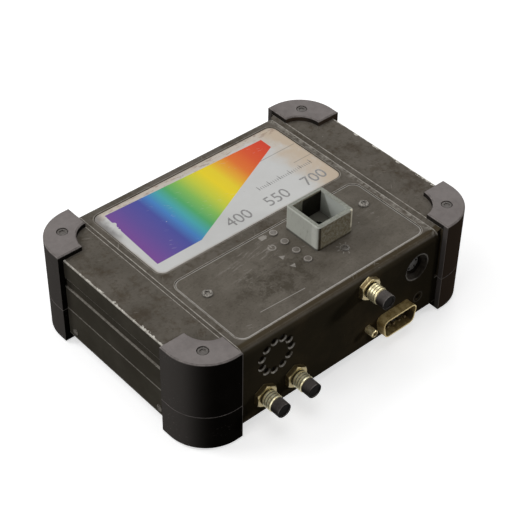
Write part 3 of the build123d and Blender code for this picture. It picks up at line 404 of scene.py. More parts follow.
def casing_paint(name, edges, dust=1.0):
    """Dark olive paint with brown blotches and dust on top, worn pale along its edges. Its front faces are
    darker with painted shade, and the dust is made paler to stand in for a painted sheen.

    edges takes the finish and returns 1 along worn edges and painted highlights, and more where the paint is
    worn bare and where a painted highlight is brightest.
    """
    finish = Finish(name, roughness=0.55, specular=0.0)
    blotch = finish.noise(16.0, 5.0, 0.62)
    fine = finish.noise(1.3, 4.0, 0.6, None, 11)
    front = finish.step(finish.rear, -0.35, -0.75)
    top = finish.step(finish.up, 0.55, 0.9)
    colour = finish.blend(side_paint, side_faded, finish.step(blotch, 0.35, 0.75) * 0.6)
    # Painted shade on the front faces: darker copies of the paint, browner in blotches and darkest toward the
    # right.
    front_shade = finish.blend(front_shaded_paint, brown_blots_and_shade, finish.step(blotch, 0.45, 0.7))
    front_shade = finish.blend(front_shade, front_deep_shade, finish.step(finish.x, 10.0, 45.0) * 0.6)
    colour = finish.blend(colour, front_shade, front)
    # Pale dust on the top faces, its tone raised a little to stand in for a painted sheen.
    cloud = finish.noise(24.0, 4.0, 0.6, None, 5)
    dusty = dust + 0.42 * finish.step(finish.x, 35.0, 55.0)
    film = top * (0.47 + 0.4 * finish.step(cloud, 0.3, 0.7)) * dusty
    colour = finish.blend(colour, dust_and_sheen, film)
    # The strip between the keypad and the label is paler, and in front of the keypad the cover darkens toward
    # the front bend with painted shade.
    strip = finish.step(finish.y, keypad_high.y, keypad_high.y + 0.5)
    strip = strip * finish.step(finish.y, label_low.y, label_low.y - 0.5)
    colour = finish.blend(colour, dust_and_sheen, strip * top * 0.3)
    painted_bend_shade = finish.step(finish.y, keypad_low.y + 0.1, keypad_low.y - 1.0) * (1.0 - front)
    stain = finish.step(finish.noise(9.0, 5.0, 0.65, None, 23), 0.5, 0.72)
    colour = finish.blend(colour, rust_stain, 0.6 * stain * top)
    mottle = finish.noise(3.4, 6.0, 0.75, None, 71)
    browned = finish.step(mottle, 0.5, 0.64) * (0.1 + 0.35 * top) * (1.0 - front)
    colour = finish.blend(colour, brown_film, browned)
    colour = finish.blend(colour, dust_and_sheen, finish.step(mottle, 0.44, 0.3) * 0.35 * top)
    colour = finish.blend(colour, side_paint, 0.35 * finish.step(fine, 0.5, 0.7) * (1.0 - front))
    # Brown blots, and the painted shade at the front bend.
    blots = finish.specks(19.0, 1.1, 4.0) * 0.6
    colour = finish.blend(colour, brown_blots_and_shade, finish.most(painted_bend_shade * 0.92, blots))
    marks = finish.most(finish.scratches(0.4, 14.0, 0.5, 3, 0.72),
                        finish.scratches(0.4, 18.0, -0.9, 17, 0.73))
    dots = finish.most(finish.specks(4.2, 0.2, 7.0) * 0.7, finish.specks(2.3, 0.1, 19.0) * 0.5)
    marks = finish.most(marks * 0.35, dots) * (0.12 + 0.88 * top)
    colour = finish.blend(colour, pale_wear_and_highlight, marks)
    ragged = finish.step(finish.noise(1.6, 5.0, 0.7, None, 31), 0.36, 0.6)
    # Worn edges, together with the painted highlights that the edge function returns.
    wear_and_highlight = edges(finish) * (0.45 + 0.6 * ragged)
    colour = finish.blend(colour, pale_wear_and_highlight, wear_and_highlight)
    colour = finish.blend(colour, bare_wear_and_highlight, wear_and_highlight - 1.0)
    finish.colour(colour)
    finish.roughness(0.5 + 0.25 * blotch - 0.1 * wear_and_highlight)
    finish.bump(fine * 0.6 + blotch * 0.4 - wear_and_highlight * 0.5, 0.06, 0.6)
    return finish


def cover_edges(finish):
    """Worn along both side edges, the rims of the two recesses and the D shell's screw hole, with a painted
    highlight along the front bend and on the lower lips of the sound holes in front.
    """
    top = finish.step(finish.up, 0.5, 0.8)
    side = finish.line(finish.size(finish.x) - (cover_high.x - 0.3), 0.16, 0.1) * top
    rough = finish.step(finish.noise(2.4, 5.0, 0.7, None, 43), 0.42, 0.58)
    right = finish.step(finish.x, cover_high.x - 3.2, cover_high.x - 0.6) * rough * top
    # A painted highlight along the rounded front bend.
    bend = finish.line(finish.y - (front_y + 1.9), 0.15, 0.3)
    bend = bend * finish.step(finish.z, cover_high.z - 1.5, cover_high.z)
    rear = finish.line(finish.y - (cover_high.y - 0.9), 0.3, 0.3) * top
    keypad = finish.panel(keypad_low, keypad_high, keypad_rim_corner_mm)
    label = finish.panel(label_low, label_high, label_rim_corner_mm)
    rims = finish.most(finish.line(keypad - 0.3, 0.16), finish.line(label - 0.55, 0.12) * 0.8)
    shell_low, shell_high = node_box_mm("dsub_shell")
    screw_low, screw_high = node_box_mm("dsub_jackscrew")
    hole_x = shell_low.x + shell_high.x - (screw_low.x + screw_high.x) / 2
    hole = finish.disc(hole_x, (screw_low.z + screw_high.z) / 2, 0.0, finish.x, finish.z)
    hole = finish.line(hole - bare_hole_radius_mm, 0.2, 0.2) * finish.step(finish.rear, -0.2, -0.6)
    return finish.most(side * 1.1, hole * 0.22, right * 0.6, bend * 0.12, rear * 0.6, rims * top * 0.8,
                       lit_sound_hole_lips(finish) * 1.5)


def frame_edges(finish):
    """Worn along the top rim, the sloped lip and both sides of the channel."""
    reach = finish.size(finish.x)
    chips = finish.noise(3.2, 5.0, 0.72, None, 61)
    broken = 0.75 + 0.25 * finish.step(chips, 0.45, 0.55)
    rim = finish.step(reach + 0.9 * finish.step(chips, 0.5, 0.66), case_high.x - 0.7, case_high.x - 0.35)
    rim = rim * finish.step(finish.z, rim_top - 0.5, rim_top - 0.1) * broken
    lip = finish.line(reach - frame_lip_mm, 0.13, 0.1) * finish.step(finish.z, rim_top - 0.2, rim_top - 0.05)
    outer = finish.step(reach, case_high.x - 1.0, case_high.x - 0.5)
    channel = finish.most(finish.line(finish.z - channel_low_mm, 0.1),
                          finish.line(finish.z - channel_high_mm, 0.12),
                          finish.line(finish.z - frame_foot_mm, 0.14))
    return finish.most(rim * 1.8, lip * 1.1, outer * channel * 0.6)


def tray_edges(finish):
    """Worn along the lower bend and the seam under the frames."""
    low = finish.line(finish.z - tray_bend_mm, 0.2, 0.2)
    seam = finish.line(finish.z - tray_seam_mm, 0.16, 0.12)
    return finish.most(low * 0.4, seam * 0.4)


def bumper_rubber():
    """Dusty grey rubber, paler on top, with scuffs and pale specks, and pale lines along its edges that are
    partly wear and partly painted highlight.

    Its sides that face left are paler with a painted light, mostly toward the left; its front faces are near
    black with painted shade at the left and brown at the right.
    """
    finish = Finish("bumper_rubber", roughness=0.75, specular=0.0)
    cloud = finish.noise(9.0, 5.0, 0.6)
    fine = finish.noise(0.7, 4.0, 0.65, None, 9)
    side = finish.blend(paint(33, 30, 27), paint(44, 40, 37), finish.step(cloud, 0.35, 0.7))
    warm = finish.step(finish.x, bumper_low.x - 4.0, bumper_low.x + 2.0)
    warm = warm * finish.step(finish.rear, -0.2, -0.8)
    side = finish.blend(side, paint(74, 62, 52), warm * 0.85)
    at_left = finish.step(finish.x, 20.0, -20.0)
    # Painted light on the sides that face left.
    pale = finish.step(finish.right, -0.4, -0.96) * (0.1 + 0.9 * at_left)
    side = finish.blend(side, paint(84, 80, 77), pale)
    # Painted shade on the front faces at the left.
    dark = finish.step(finish.rear, -0.35, -0.9) * at_left
    side = finish.blend(side, paint(17, 15, 12), dark * 0.75)
    top = finish.blend(paint(124, 118, 116), paint(136, 130, 128), finish.step(cloud, 0.35, 0.7))
    colour = finish.blend(side, top, finish.step(finish.up, 0.5, 0.9))
    # Pale lines along the top rim, the seam and the ends: wear with a painted highlight.
    rim = finish.line(finish.z - (bumper_high.z - 0.2), 0.14, 0.16)
    seam = finish.line(finish.z - (bumper_seam + 0.1), 0.14, 0.12)
    from_middle = finish.size(finish.y - case_middle_y)
    half_depth = bumper_high.y - case_middle_y
    end = finish.line(finish.size(finish.x) - (bumper_low.x + 0.15), 0.12, 0.12)
    end = end * finish.step(from_middle, half_depth - 2.2, half_depth - 1.6)
    ragged = finish.step(finish.noise(2.2, 5.0, 0.7, None, 19), 0.38, 0.62)
    side_only = finish.step(finish.up, 0.5, 0.2)
    wear_and_highlight = finish.most(rim * (0.3 + 0.5 * ragged), seam * (0.4 + 0.4 * ragged) * side_only,
                       end * 0.6, finish.specks(4.6, 0.18) * 0.5)
    rub = finish.scratches(0.45, 14.0, 0.8, 29, 0.68) * 0.2
    colour = finish.blend(colour, paint(170, 162, 158), finish.most(wear_and_highlight, rub))
    finish.colour(colour)
    finish.roughness(0.66 + 0.2 * cloud)
    finish.bump(fine, 0.04, 0.4)
    return finish


# Hues of the spectrum on the label, by their places along X
spectrum_hues = (
    (-41.0, (136, 82, 158)), (-36.0, (124, 88, 162)), (-31.0, (106, 90, 164)), (-24.0, (85, 92, 169)),
    (-20.0, (82, 140, 206)), (-16.0, (84, 178, 186)), (-12.0, (92, 180, 116)), (-7.0, (144, 200, 98)),
    (-2.0, (208, 218, 78)), (4.0, (250, 226, 56)), (8.0, (248, 220, 60)), (12.0, (246, 182, 64)),
    (17.0, (240, 128, 62)), (24.0, (232, 98, 60)), (32.0, (226, 78, 58)))


def label_print():
    """White card with the wedge of hues and two rules, stained tan and torn grey at its edges."""
    finish = Finish("label_print", roughness=0.5, specular=0.05)
    low_x, high_x = spectrum_hues[0][0], spectrum_hues[-1][0]
    stops = [((x - low_x) / (high_x - low_x), paint(*hue)) for x, hue in spectrum_hues]
    y = finish.y - case_middle_y
    hues = finish.ramp((finish.x - low_x) / (high_x - low_x), stops)
    white = finish.blend(paint(222, 222, 221), paint(210, 210, 207), finish.noise(9.0, 4.0, 0.6))
    # Tan stain along the rear edge and in the right rear corner.
    edge = -finish.panel(label_low, label_high, label_corner_mm)
    drift = finish.noise(7.0, 5.0, 0.6, None, 13)
    right = finish.step(finish.x + drift * 14.0, 33.0, 47.0)
    rear = finish.step(y + drift * 5.0, 38.0, 41.0)
    stain = finish.most(right, rear * 0.6) * finish.step(drift, 0.2, 0.5)
    white = finish.blend(white, paint(208, 190, 168), stain * 0.95)
    rim = finish.step(edge + drift * 1.6, 1.8, 0.7)
    white = finish.blend(white, paint(170, 156, 140), rim * 0.5)
    # The wedge of hues, with a ragged left end where the print has come off.
    slope = (y - spectrum_front) - (finish.x - spectrum_corner) * spectrum_slope
    torn = finish.noise(4.5, 4.0, 0.62, None, 3)
    slant = (torn_end_rear - y) * torn_end_lean
    ends = finish.step(finish.size(y - torn_end_middle), 4.0, 12.0)
    left = finish.x + slant + finish.most(torn - 0.52, 0.0) * -14.0 * ends
    wedge = finish.least(finish.ink(spectrum_left - left, 0.15), finish.ink(finish.x - spectrum_right, 0.1),
                         finish.ink(spectrum_front - y, 0.1), finish.step(slope, -0.1, 0.1),
                         finish.ink(y + spectrum_fall * finish.x - spectrum_rear, 0.1))
    chips = finish.most(finish.specks(5.0, 0.26, 3.0), finish.scratches(0.3, 12.0, 0.45, 5, 0.72) * 0.6)
    colour = finish.blend(white, hues, wedge * (1.0 - chips * 0.8))
    grey_end = finish.step(finish.x + slant + torn * 5.0, -35.4, -38.4) * (1.0 - wedge)
    grey_end = grey_end * finish.step(y, 20.0, 30.0)
    colour = finish.blend(colour, paint(132, 129, 127), grey_end * 0.85)
    for start, end in rules_mm:
        rule = finish.stroke(start, end, finish.x, y)
        colour = finish.blend(colour, paint(120, 116, 110), finish.ink(rule - rule_width_mm / 2, 0.08) * 0.7)
    streaks = finish.noise(1.0, 5.0, 0.7, finish.stretched((0.3, 1.0, 1.0)), 45)
    marks = finish.step(streaks, 0.52, 0.62) * finish.step(y, 35.6, 37.4) * (1.0 - wedge)
    colour = finish.blend(colour, paint(150, 118, 104), marks * 0.5)
    dirt = finish.step(finish.noise(2.0, 5.0, 0.7, None, 27), 0.62, 0.8)
    colour = finish.blend(colour, paint(120, 112, 100), dirt * 0.2)
    finish.colour(colour)
    finish.roughness(0.42 + 0.2 * drift)
    finish.bump(finish.noise(0.8, 3.0, 0.6, None, 41), 0.02, 0.4)
    return finish


def faded_ink():
    """Grey print on the label, rubbed away in places."""
    finish = Finish("faded_ink", roughness=0.5, specular=0.05)
    rubbed = finish.step(finish.noise(0.8, 4.0, 0.7), 0.5, 0.7)
    finish.colour(finish.blend(paint(150, 149, 148), paint(196, 195, 193), rubbed))
    finish.roughness(0.45 + 0.15 * rubbed)
    return finish


def keypad_symbols(finish, y):
    """The rubbed symbols: a battery, a power sign, two triangles and a lamp with rays."""
    battery = finish.most(finish.ink(finish.panel(*battery_sign_mm, 0.4, finish.x, y)),
                          finish.ink(finish.panel(*battery_tip_mm, 0.1, finish.x, y)))
    sign_x, sign_y = power_sign_mm
    ring = finish.line(finish.disc(sign_x, sign_y, power_sign_radius_mm, finish.x, y), 0.22)
    gap = finish.most(finish.step(finish.size(finish.x - sign_x), 0.45, 0.6),
                      finish.step(y, sign_y + 0.15, sign_y - 0.05))
    bar = finish.ink(finish.stroke((sign_x, sign_y + 0.15), (sign_x, sign_y + 1.65), finish.x, y) - 0.22)
    from_left = finish.x - start_sign_mm[0] + 1.0
    half_height = triangle_half_mm - from_left * 0.577
    start = finish.most(finish.size(y - start_sign_mm[1]) - half_height, -from_left)
    from_rear = y - down_sign_mm[1] - 1.0
    half_width = triangle_half_mm + from_rear * 0.6
    down = finish.most(finish.size(finish.x - down_sign_mm[0]) - half_width, from_rear)
    marks = finish.most(battery, ring * gap, bar, finish.ink(start), finish.ink(down))
    lamp_x, lamp_y = lamp_sign_mm
    lamp = finish.line(finish.disc(lamp_x, lamp_y, lamp_sign_radius_mm, finish.x, y), 0.24)
    for ray in range(lamp_rays):
        angle = math.radians(40 + 44 * ray)
        near, far = ((lamp_x + reach * math.cos(angle), lamp_y + reach * math.sin(angle))
                     for reach in lamp_ray_mm)
        lamp = finish.most(lamp, finish.ink(finish.stroke(near, far, finish.x, y) - 0.18))
    return finish.most(marks, lamp * 0.7)


def keypad_film():
    """Film of the casing's colour with brown stains, pale scuffs and rubbed symbols beside the keys."""
    finish = Finish("keypad_film", roughness=0.5, specular=0.05)
    y = finish.y - case_middle_y
    blotch = finish.noise(13.0, 5.0, 0.62, None, 2)
    colour = finish.blend(paint(94, 88, 79), paint(112, 106, 97), finish.step(blotch, 0.3, 0.7))
    # Stains gather about the middle of the left half.
    near = finish.patch(brown_patch_mm, 1.6, 25.0, 5.0, y)
    mottle = finish.noise(5.0, 7.0, 0.78, None, 37)
    brown = finish.step(mottle + 0.1 * near, 0.5, 0.68)
    colour = finish.blend(colour, paint(66, 60, 50), brown * (0.3 + 0.5 * near))
    scuffs = finish.noise(1.1, 5.0, 0.75, finish.stretched((0.12, 1.0, 1.0), -0.15), 21)
    rear_left = finish.patch(scuffed_patch_mm, 1.5, 17.0, 6.0, y)
    scuffed = finish.step(scuffs, 0.54, 0.64) * (0.12 + 0.7 * rear_left)
    colour = finish.blend(colour, paint(140, 134, 126), scuffed)
    fine = finish.noise(0.8, 4.0, 0.6, None, 15)
    colour = finish.blend(colour, paint(62, 57, 48), 0.35 * finish.step(fine, 0.52, 0.7))
    marks = keypad_symbols(finish, y)
    rubbed = finish.step(finish.noise(1.2, 4.0, 0.7, None, 33), 0.25, 0.5)
    colour = finish.blend(colour, paint(168, 163, 156), marks * (0.4 + 0.6 * rubbed) * 0.8)
    edge = -finish.panel(keypad_low, keypad_high, keypad_corner_mm)
    front = finish.step(y, keypad_low.y - case_middle_y + 2.2, keypad_low.y - case_middle_y + 0.8)
    outline = finish.line(edge - 0.22, 0.15, 0.08) * (0.7 + 1.0 * front)
    broken = finish.step(finish.noise(2.6, 4.0, 0.7, None, 51), 0.3, 0.5)
    scratch = finish.ink(finish.stroke(*long_scratch_mm, finish.x, y) - 0.1)
    worn = finish.most(scratch * 0.8, outline * (0.35 + 0.65 * broken), finish.specks(4.8, 0.2, 5.0) * 0.7,
                       finish.scratches(0.4, 12.0, 0.3, 9, 0.72) * 0.4)
    colour = finish.blend(colour, paint(188, 184, 178), worn)
    finish.colour(colour)
    finish.roughness(0.45 + 0.25 * blotch)
    finish.bump(fine + marks * 0.5, 0.04, 0.5)
    return finish


def holder_plastic():
    """Pale grey plastic with grime and streaks, darker inside, its front face darker and browner with painted
    shade, a painted shade on its left front corner, a painted highlight on its right front corner and a
    painted contact shadow at its foot.
    """
    finish = Finish("holder_plastic", roughness=0.55, specular=0.04)
    y = finish.y - case_middle_y
    left, right = holder_low.x + holder_flange_mm, holder_high.x - holder_flange_mm
    near, far = (edge.y - case_middle_y for edge in (holder_low, holder_high))
    near, far = near + holder_flange_mm, far - holder_flange_mm
    cloud = finish.noise(4.0, 5.0, 0.65)
    grime = finish.step(finish.noise(1.2, 6.0, 0.8, None, 14), 0.36, 0.66)
    streaks = finish.noise(1.2, 4.0, 0.7, finish.stretched((1.0, 1.0, 0.25)), 8)
    colour = finish.blend(paint(224, 226, 217), paint(200, 201, 191), cloud)
    band = finish.step(y + cloud * 0.8, near + 3.2, near + 4.2) * finish.step(finish.right, -0.6, -0.9)
    colour = finish.blend(colour, paint(176, 178, 168), band * 0.5)
    well = finish.panel((left + holder_wall_mm, near + holder_wall_mm),
                        (right - holder_wall_mm, far - holder_wall_mm), 0.1, finish.x, y)
    inside = finish.step(finish.z, holder_high.z - 0.4, holder_high.z - 0.9) * finish.ink(well - 0.3)
    # Painted shade on the front face, darker and browner, with grime in blotches.
    front = finish.step(finish.rear, -0.6, -0.95)
    colour = finish.blend(colour, paint(150, 140, 116), front * (0.7 + 0.3 * grime))
    colour = finish.blend(colour, paint(108, 97, 74), front * grime * 0.6)
    colour = finish.blend(colour, paint(96, 87, 70), 0.35 * finish.step(streaks, 0.56, 0.75))
    rim = finish.step(finish.up, 0.6, 0.9)
    colour = finish.blend(colour, paint(136, 138, 128), rim * (0.7 + 0.3 * grime))
    # The outer corners of the front face: painted shade at the left and a painted highlight at the right.
    outside = 1.0 - finish.step(y, near + 0.4, near + 0.8)
    dark = finish.step(finish.x + cloud * 0.6, left + 1.9, left + 1.3) * front * outside
    colour = finish.blend(colour, paint(46, 38, 27), dark * 0.85)
    painted_corner_highlight = finish.step(finish.x + streaks * 0.6, right - 1.2, right - 0.9) * outside
    painted_corner_highlight = painted_corner_highlight * finish.step(finish.z, cover_high.z + 2.0, cover_high.z + 2.8)
    colour = finish.blend(colour, paint(255, 248, 224), painted_corner_highlight * (0.6 + 0.4 * finish.step(streaks, 0.4, 0.55)))
    # Inside: a dark patch at the right of the rear wall, a dull floor and a paler patch on the right wall.
    colour = finish.blend(colour, paint(120, 122, 114), inside * 0.65)
    rear = inside * finish.step(y, far - holder_wall_mm - 0.4, far - holder_wall_mm - 0.1)
    patch = rear * finish.step(finish.x + cloud * 1.0, left + 6.6, left + 7.2)
    colour = finish.blend(colour, paint(20, 17, 12), patch * 0.92)
    floor = inside * rim
    colour = finish.blend(colour, paint(92, 90, 82), floor * 0.9)
    wall = inside * finish.step(finish.x, right - holder_wall_mm - 0.4, right - holder_wall_mm - 0.1)
    wedge = finish.step((far - y) - (holder_high.z - finish.z) * 0.5 + cloud, 3.2, 4.0)
    colour = finish.blend(colour, paint(210, 214, 208), wall * wedge * 0.7)
    # A painted contact shadow along the foot of the outer walls.
    painted_contact_shadow = finish.step(finish.z, cover_high.z + 0.9, cover_high.z + 0.3) * (1.0 - inside)
    colour = finish.blend(colour, paint(58, 52, 43), painted_contact_shadow * 0.8)
    finish.colour(colour)
    finish.roughness(0.5 + 0.2 * cloud)
    finish.bump(finish.noise(0.8, 4.0, 0.6, None, 3), 0.04, 0.5)
    return finish


def thread_brass():
    """Pale worn brass, dark in the grooves of the threads with tarnish and painted shade, and duller on the
    right port.
    """
    finish = Finish("thread_brass", roughness=0.35, metallic=1.0)
    places = [node_box_mm("dust_cap_" + side) for side in ("left", "centre", "right")]
    radius = finish.least(*(finish.disc((low.x + high.x) / 2, (low.z + high.z) / 2, 0.0, finish.x, finish.z)
                            for low, high in places))
    # Dark in the grooves: tarnish with painted shade.
    groove_tarnish_and_shade = finish.step(radius, thread_crest_mm - 0.22, thread_root_mm + 0.01)
    cloud = finish.noise(0.9, 5.0, 0.65)
    worn = finish.blend(paint(255, 250, 214), paint(222, 206, 160), finish.step(cloud, 0.4, 0.65))
    worn = finish.blend(worn, paint(176, 164, 124), finish.step(finish.x, 0.0, 10.0) * 0.7)
    finish.colour(finish.blend(worn, paint(58, 46, 26), groove_tarnish_and_shade * 0.92))
    finish.metallic(0.7 - 0.3 * groove_tarnish_and_shade)
    finish.roughness(0.3 + 0.3 * groove_tarnish_and_shade + 0.1 * cloud)
    finish.bump(cloud, 0.02, 0.3)
    return finish


def nut_brass():
    """Tarnished brass, rubbed pale in patches and along both rims."""
    finish = Finish("nut_brass", roughness=0.4, metallic=1.0)
    low, high = node_box_mm("fibre_nuts")
    cloud = finish.noise(0.8, 5.0, 0.65)
    rims = finish.most(finish.line(finish.y - low.y, 0.3, 0.2), finish.line(finish.y - high.y, 0.2, 0.2))
    worn = finish.most(rims, finish.step(cloud, 0.56, 0.7) * 0.7)
    finish.colour(finish.blend(paint(90, 76, 47), paint(186, 173, 134), worn * (0.2 + 0.9 * cloud)))
    finish.metallic(0.75 + 0.2 * worn)
    finish.roughness(0.45 - 0.12 * worn)
    finish.bump(cloud, 0.02, 0.4)
    return finish


def cap_rubber_finish():
    """Near-black rubber with a painted highlight along its upper sides, painted shade on its flat end, and a
    rubbed pale line near the end.
    """
    finish = Finish("cap_rubber", roughness=0.4, specular=0.03)
    cloud = finish.noise(2.4, 4.0, 0.6)
    # Painted highlight on the sides that face up.
    rubbed = finish.step(finish.up, -0.1, 0.8) * (0.6 + 0.4 * finish.step(cloud, 0.3, 0.6))
    colour = finish.blend(paint(30, 26, 23), paint(92, 87, 84), rubbed)
    # Painted shade on the flat end, which faces the front.
    flat = finish.step(finish.rear, -0.75, -0.9)
    colour = finish.blend(colour, paint(12, 9, 7), flat)
    tip = finish.line(finish.y - node_box_mm("dust_cap_left")[0].y, 0.3, 0.2) * finish.step(cloud, 0.4, 0.55)
    tip = tip * (1.0 - flat)
    finish.colour(finish.blend(colour, paint(150, 144, 140), tip * 0.6))
    finish.roughness(0.42 + 0.2 * cloud)
    finish.bump(finish.noise(0.5, 3.0, 0.6, None, 7), 0.02, 0.4)
    return finish


def shell_plating():
    """Tarnished gold plating of the D shell, bright along its front rim, with painted shade on its inner
    walls.
    """
    finish = Finish("shell_plating", roughness=0.4, metallic=1.0)
    low, high = node_box_mm("dsub_shell")
    cloud = finish.noise(2.2, 5.0, 0.65)
    fine = finish.noise(0.7, 4.0, 0.7, None, 5)
    inner = finish.panel((low.x + shell_wall_mm, low.z + shell_wall_mm),
                         (high.x - shell_wall_mm, high.z - shell_wall_mm), shell_corner_mm,
                         finish.x, finish.z)
    # Painted shade on the inner walls.
    inside = finish.ink(inner) * finish.step(finish.y, low.y + 0.1, low.y + 0.5)
    rim = finish.line(finish.y - low.y, 0.12, 0.14)
    colour = finish.blend(paint(176, 156, 108), paint(132, 112, 70), finish.step(cloud, 0.4, 0.6))
    colour = finish.blend(colour, paint(84, 68, 40), finish.step(fine, 0.56, 0.7) * 0.6)
    colour = finish.blend(colour, paint(200, 184, 138), rim * finish.step(cloud, 0.35, 0.6))
    finish.colour(finish.blend(colour, paint(44, 35, 21), inside * 0.9))
    finish.metallic(0.9 - 0.4 * inside)
    finish.roughness(0.4 + 0.2 * cloud)
    finish.bump(fine, 0.02, 0.3)
    return finish


def socket_metal():
    """Dark plated ring of the round socket, faintly worn around its lip, with painted highlights on two arcs
    of the lip and on one side of the inner seat.
    """
    finish = Finish("socket_metal", roughness=0.45, specular=0.02)
    middle_x, middle_z = (socket_low.x + socket_high.x) / 2, (socket_low.z + socket_high.z) / 2
    from_middle = finish.disc(middle_x, middle_z, 0.0, finish.x, finish.z)
    cloud = finish.noise(1.4, 4.0, 0.65)
    colour = finish.blend(paint(32, 28, 23), paint(52, 47, 41), finish.step(cloud, 0.35, 0.65))
    lip = finish.line(from_middle - socket_lip_radius_mm, 0.2, 0.2)
    across, above = finish.x - middle_x, finish.z - middle_z
    # Painted highlights: two arcs of the lip and one side of the inner seat.
    lit = finish.step(finish.size(above + across), 3.5, 6.5)
    inner = finish.line(from_middle - socket_seat_radius_mm, 0.35, 0.3)
    inner = inner * finish.step(above - across, 1.0, 4.0)
    bright = finish.most(lip * (0.06 + 0.6 * lit), inner * 0.6)
    colour = finish.blend(colour, paint(186, 180, 172), bright * (0.4 + 0.6 * cloud))
    finish.colour(colour)
    finish.roughness(0.35 + 0.25 * cloud)
    finish.bump(cloud, 0.02, 0.3)
    return finish


def key_plastic_finish():
    """Grey keys, worn paler around their edge."""
    finish = Finish("key_plastic", roughness=0.5, specular=0.3)
    places = [node_box_mm(name) for name in sorted(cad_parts) if name.startswith("button_")]
    edge = None
    for low, high in places:
        ring = finish.disc((low.x + high.x) / 2, (low.y + high.y) / 2, key_ring_radius_mm)
        ring = finish.line(ring, 0.16, 0.16)
        edge = ring if edge is None else finish.most(edge, ring)
    cloud = finish.noise(1.6, 4.0, 0.65)
    colour = finish.blend(paint(122, 116, 110), paint(104, 98, 90), finish.step(cloud, 0.35, 0.65))
    finish.colour(finish.blend(colour, paint(178, 172, 164), edge * (0.5 + 0.4 * cloud)))
    finish.roughness(0.45 + 0.2 * cloud)
    finish.bump(finish.noise(0.4, 3.0, 0.6, None, 7), 0.02, 0.4)
    return finish


def worn_metal(name, bright, dull, roughness=0.35, grain_mm=1.2):
    """Plain metal with a tarnish that gathers in clouds."""
    finish = Finish(name, roughness=roughness, metallic=1.0)
    cloud = finish.noise(grain_mm, 5.0, 0.65)
    tarnish = finish.step(cloud, 0.4, 0.65)
    finish.colour(finish.blend(bright, dull, tarnish))
    finish.metallic(1.0 - 0.45 * tarnish)
    finish.roughness(roughness + 0.25 * tarnish)
    finish.bump(cloud, 0.03, 0.4)
    return finish


def plain_plastic(name, colour, other, roughness=0.5, grain_mm=1.0):
    """Moulded plastic or rubber with a fine grain and a slight change of tone."""
    finish = Finish(name, roughness=roughness)
    cloud = finish.noise(grain_mm * 4, 4.0, 0.6)
    fine = finish.noise(grain_mm * 0.4, 3.0, 0.6, None, 7)
    finish.colour(finish.blend(colour, other, finish.step(cloud, 0.35, 0.7)))
    finish.roughness(roughness + 0.15 * cloud)
    finish.bump(fine, 0.03, 0.5)
    return finish


case_finish = casing_paint("case_paint", frame_edges)
tray_finish = casing_paint("tray_paint", tray_edges)
cover_finish = casing_paint("cover_paint", cover_edges, 1.15)
rubber = bumper_rubber()
brass = nut_brass()
barrel_brass = thread_brass()
jackscrew_brass = worn_metal("jackscrew_brass", paint(226, 212, 170), paint(140, 122, 82), 0.36, 0.9)
screw_grey = plain_plastic("screw_grey", paint(96, 91, 87), paint(78, 73, 69), 0.6, 0.4)
panel_screw_grey = worn_metal("panel_screw_grey", paint(128, 124, 118), paint(84, 80, 74), 0.6, 0.6)
dark_steel = worn_metal("dark_steel", paint(84, 79, 72), paint(48, 45, 40), 0.5)
grey_steel = worn_metal("grey_steel", paint(150, 146, 138), paint(100, 94, 84), 0.4)
pin_dark = worn_metal("contact_metal", paint(92, 78, 52), paint(56, 46, 32), 0.45, 0.5)
cap_rubber = cap_rubber_finish()
black_plastic = plain_plastic("black_plastic", paint(26, 24, 22), paint(38, 35, 32), 0.5)
key_plastic = key_plastic_finish()
insert_brown = plain_plastic("insert_brown", paint(12, 9, 6), paint(24, 18, 11), 0.7, 0.6)
socket_disc = plain_plastic("socket_disc", paint(38, 35, 32), paint(50, 46, 42), 0.5, 0.5)
board_green = plain_plastic("board_green", paint(22, 74, 42), paint(30, 88, 52), 0.4, 2.0)
wrap_blue = plain_plastic("battery_wrap", paint(40, 66, 120), paint(52, 80, 136), 0.3, 4.0)
bench_black = plain_plastic("bench_black", paint(34, 34, 36), paint(46, 46, 48), 0.5, 1.5)
mirror_silver = worn_metal("mirror_silver", paint(232, 234, 238), paint(220, 222, 226), 0.05, 6.0)
lens_pale = plain_plastic("lens_pale", paint(104, 99, 92), paint(86, 81, 74), 0.3, 0.6)


def clear_glass(name):
    finish = Finish(name, roughness=0.05)
    finish.shader.inputs["Transmission Weight"].default_value = 1.0
    finish.shader.inputs["IOR"].default_value = 1.5
    smear = finish.noise(2.0, 3.0, 0.6)
    finish.colour(finish.blend(paint(225, 232, 232), paint(200, 205, 200), smear))
    finish.roughness(0.04 + 0.1 * smear)
    return finish


window_glass = clear_glass("window_glass")

dressing = {
    "base_tray": tray_finish,
    "top_cover": cover_finish,
    "side_frame_left": case_finish,
    "side_frame_right": case_finish,
    "label_plate": label_print(),
    "keypad_overlay": keypad_film(),
    "cuvette_holder": holder_plastic(),
    "bumper_screws": screw_grey,
    "panel_screws": panel_screw_grey,
    "indicator_lens": lens_pale,
    "fibre_nuts": brass,
    "dsub_shell": shell_plating(),
    "dsub_jackscrew": jackscrew_brass,
    "dsub_insert": insert_brown,
    "dsub_contacts": pin_dark,
    "round_socket_shell": socket_metal(),
    "round_socket_insert": socket_disc,
    "battery_pack": wrap_blue,
}
shared = (
    (dark_steel, ("side_screws", "entrance_slit")),
    (grey_steel, ("board_screws", "bench_screws", "dsub_flange")),
    (black_plastic, ("key_switches", "board_chips", "detector_array", "round_socket_contacts", "sounder")),
    (board_green, ("key_board", "indicator_board", "main_board", "detector_board")),
    (bench_black, ("optical_bench", "bench_lid", "slit_tube", "lamp_housing")),
    (mirror_silver, ("fold_mirror", "collimating_mirror", "focusing_mirror", "grating")),
    (window_glass, ("well_window", "lamp_capsule")))
for finish, names in shared:
    for name in names:
        dressing[name] = finish
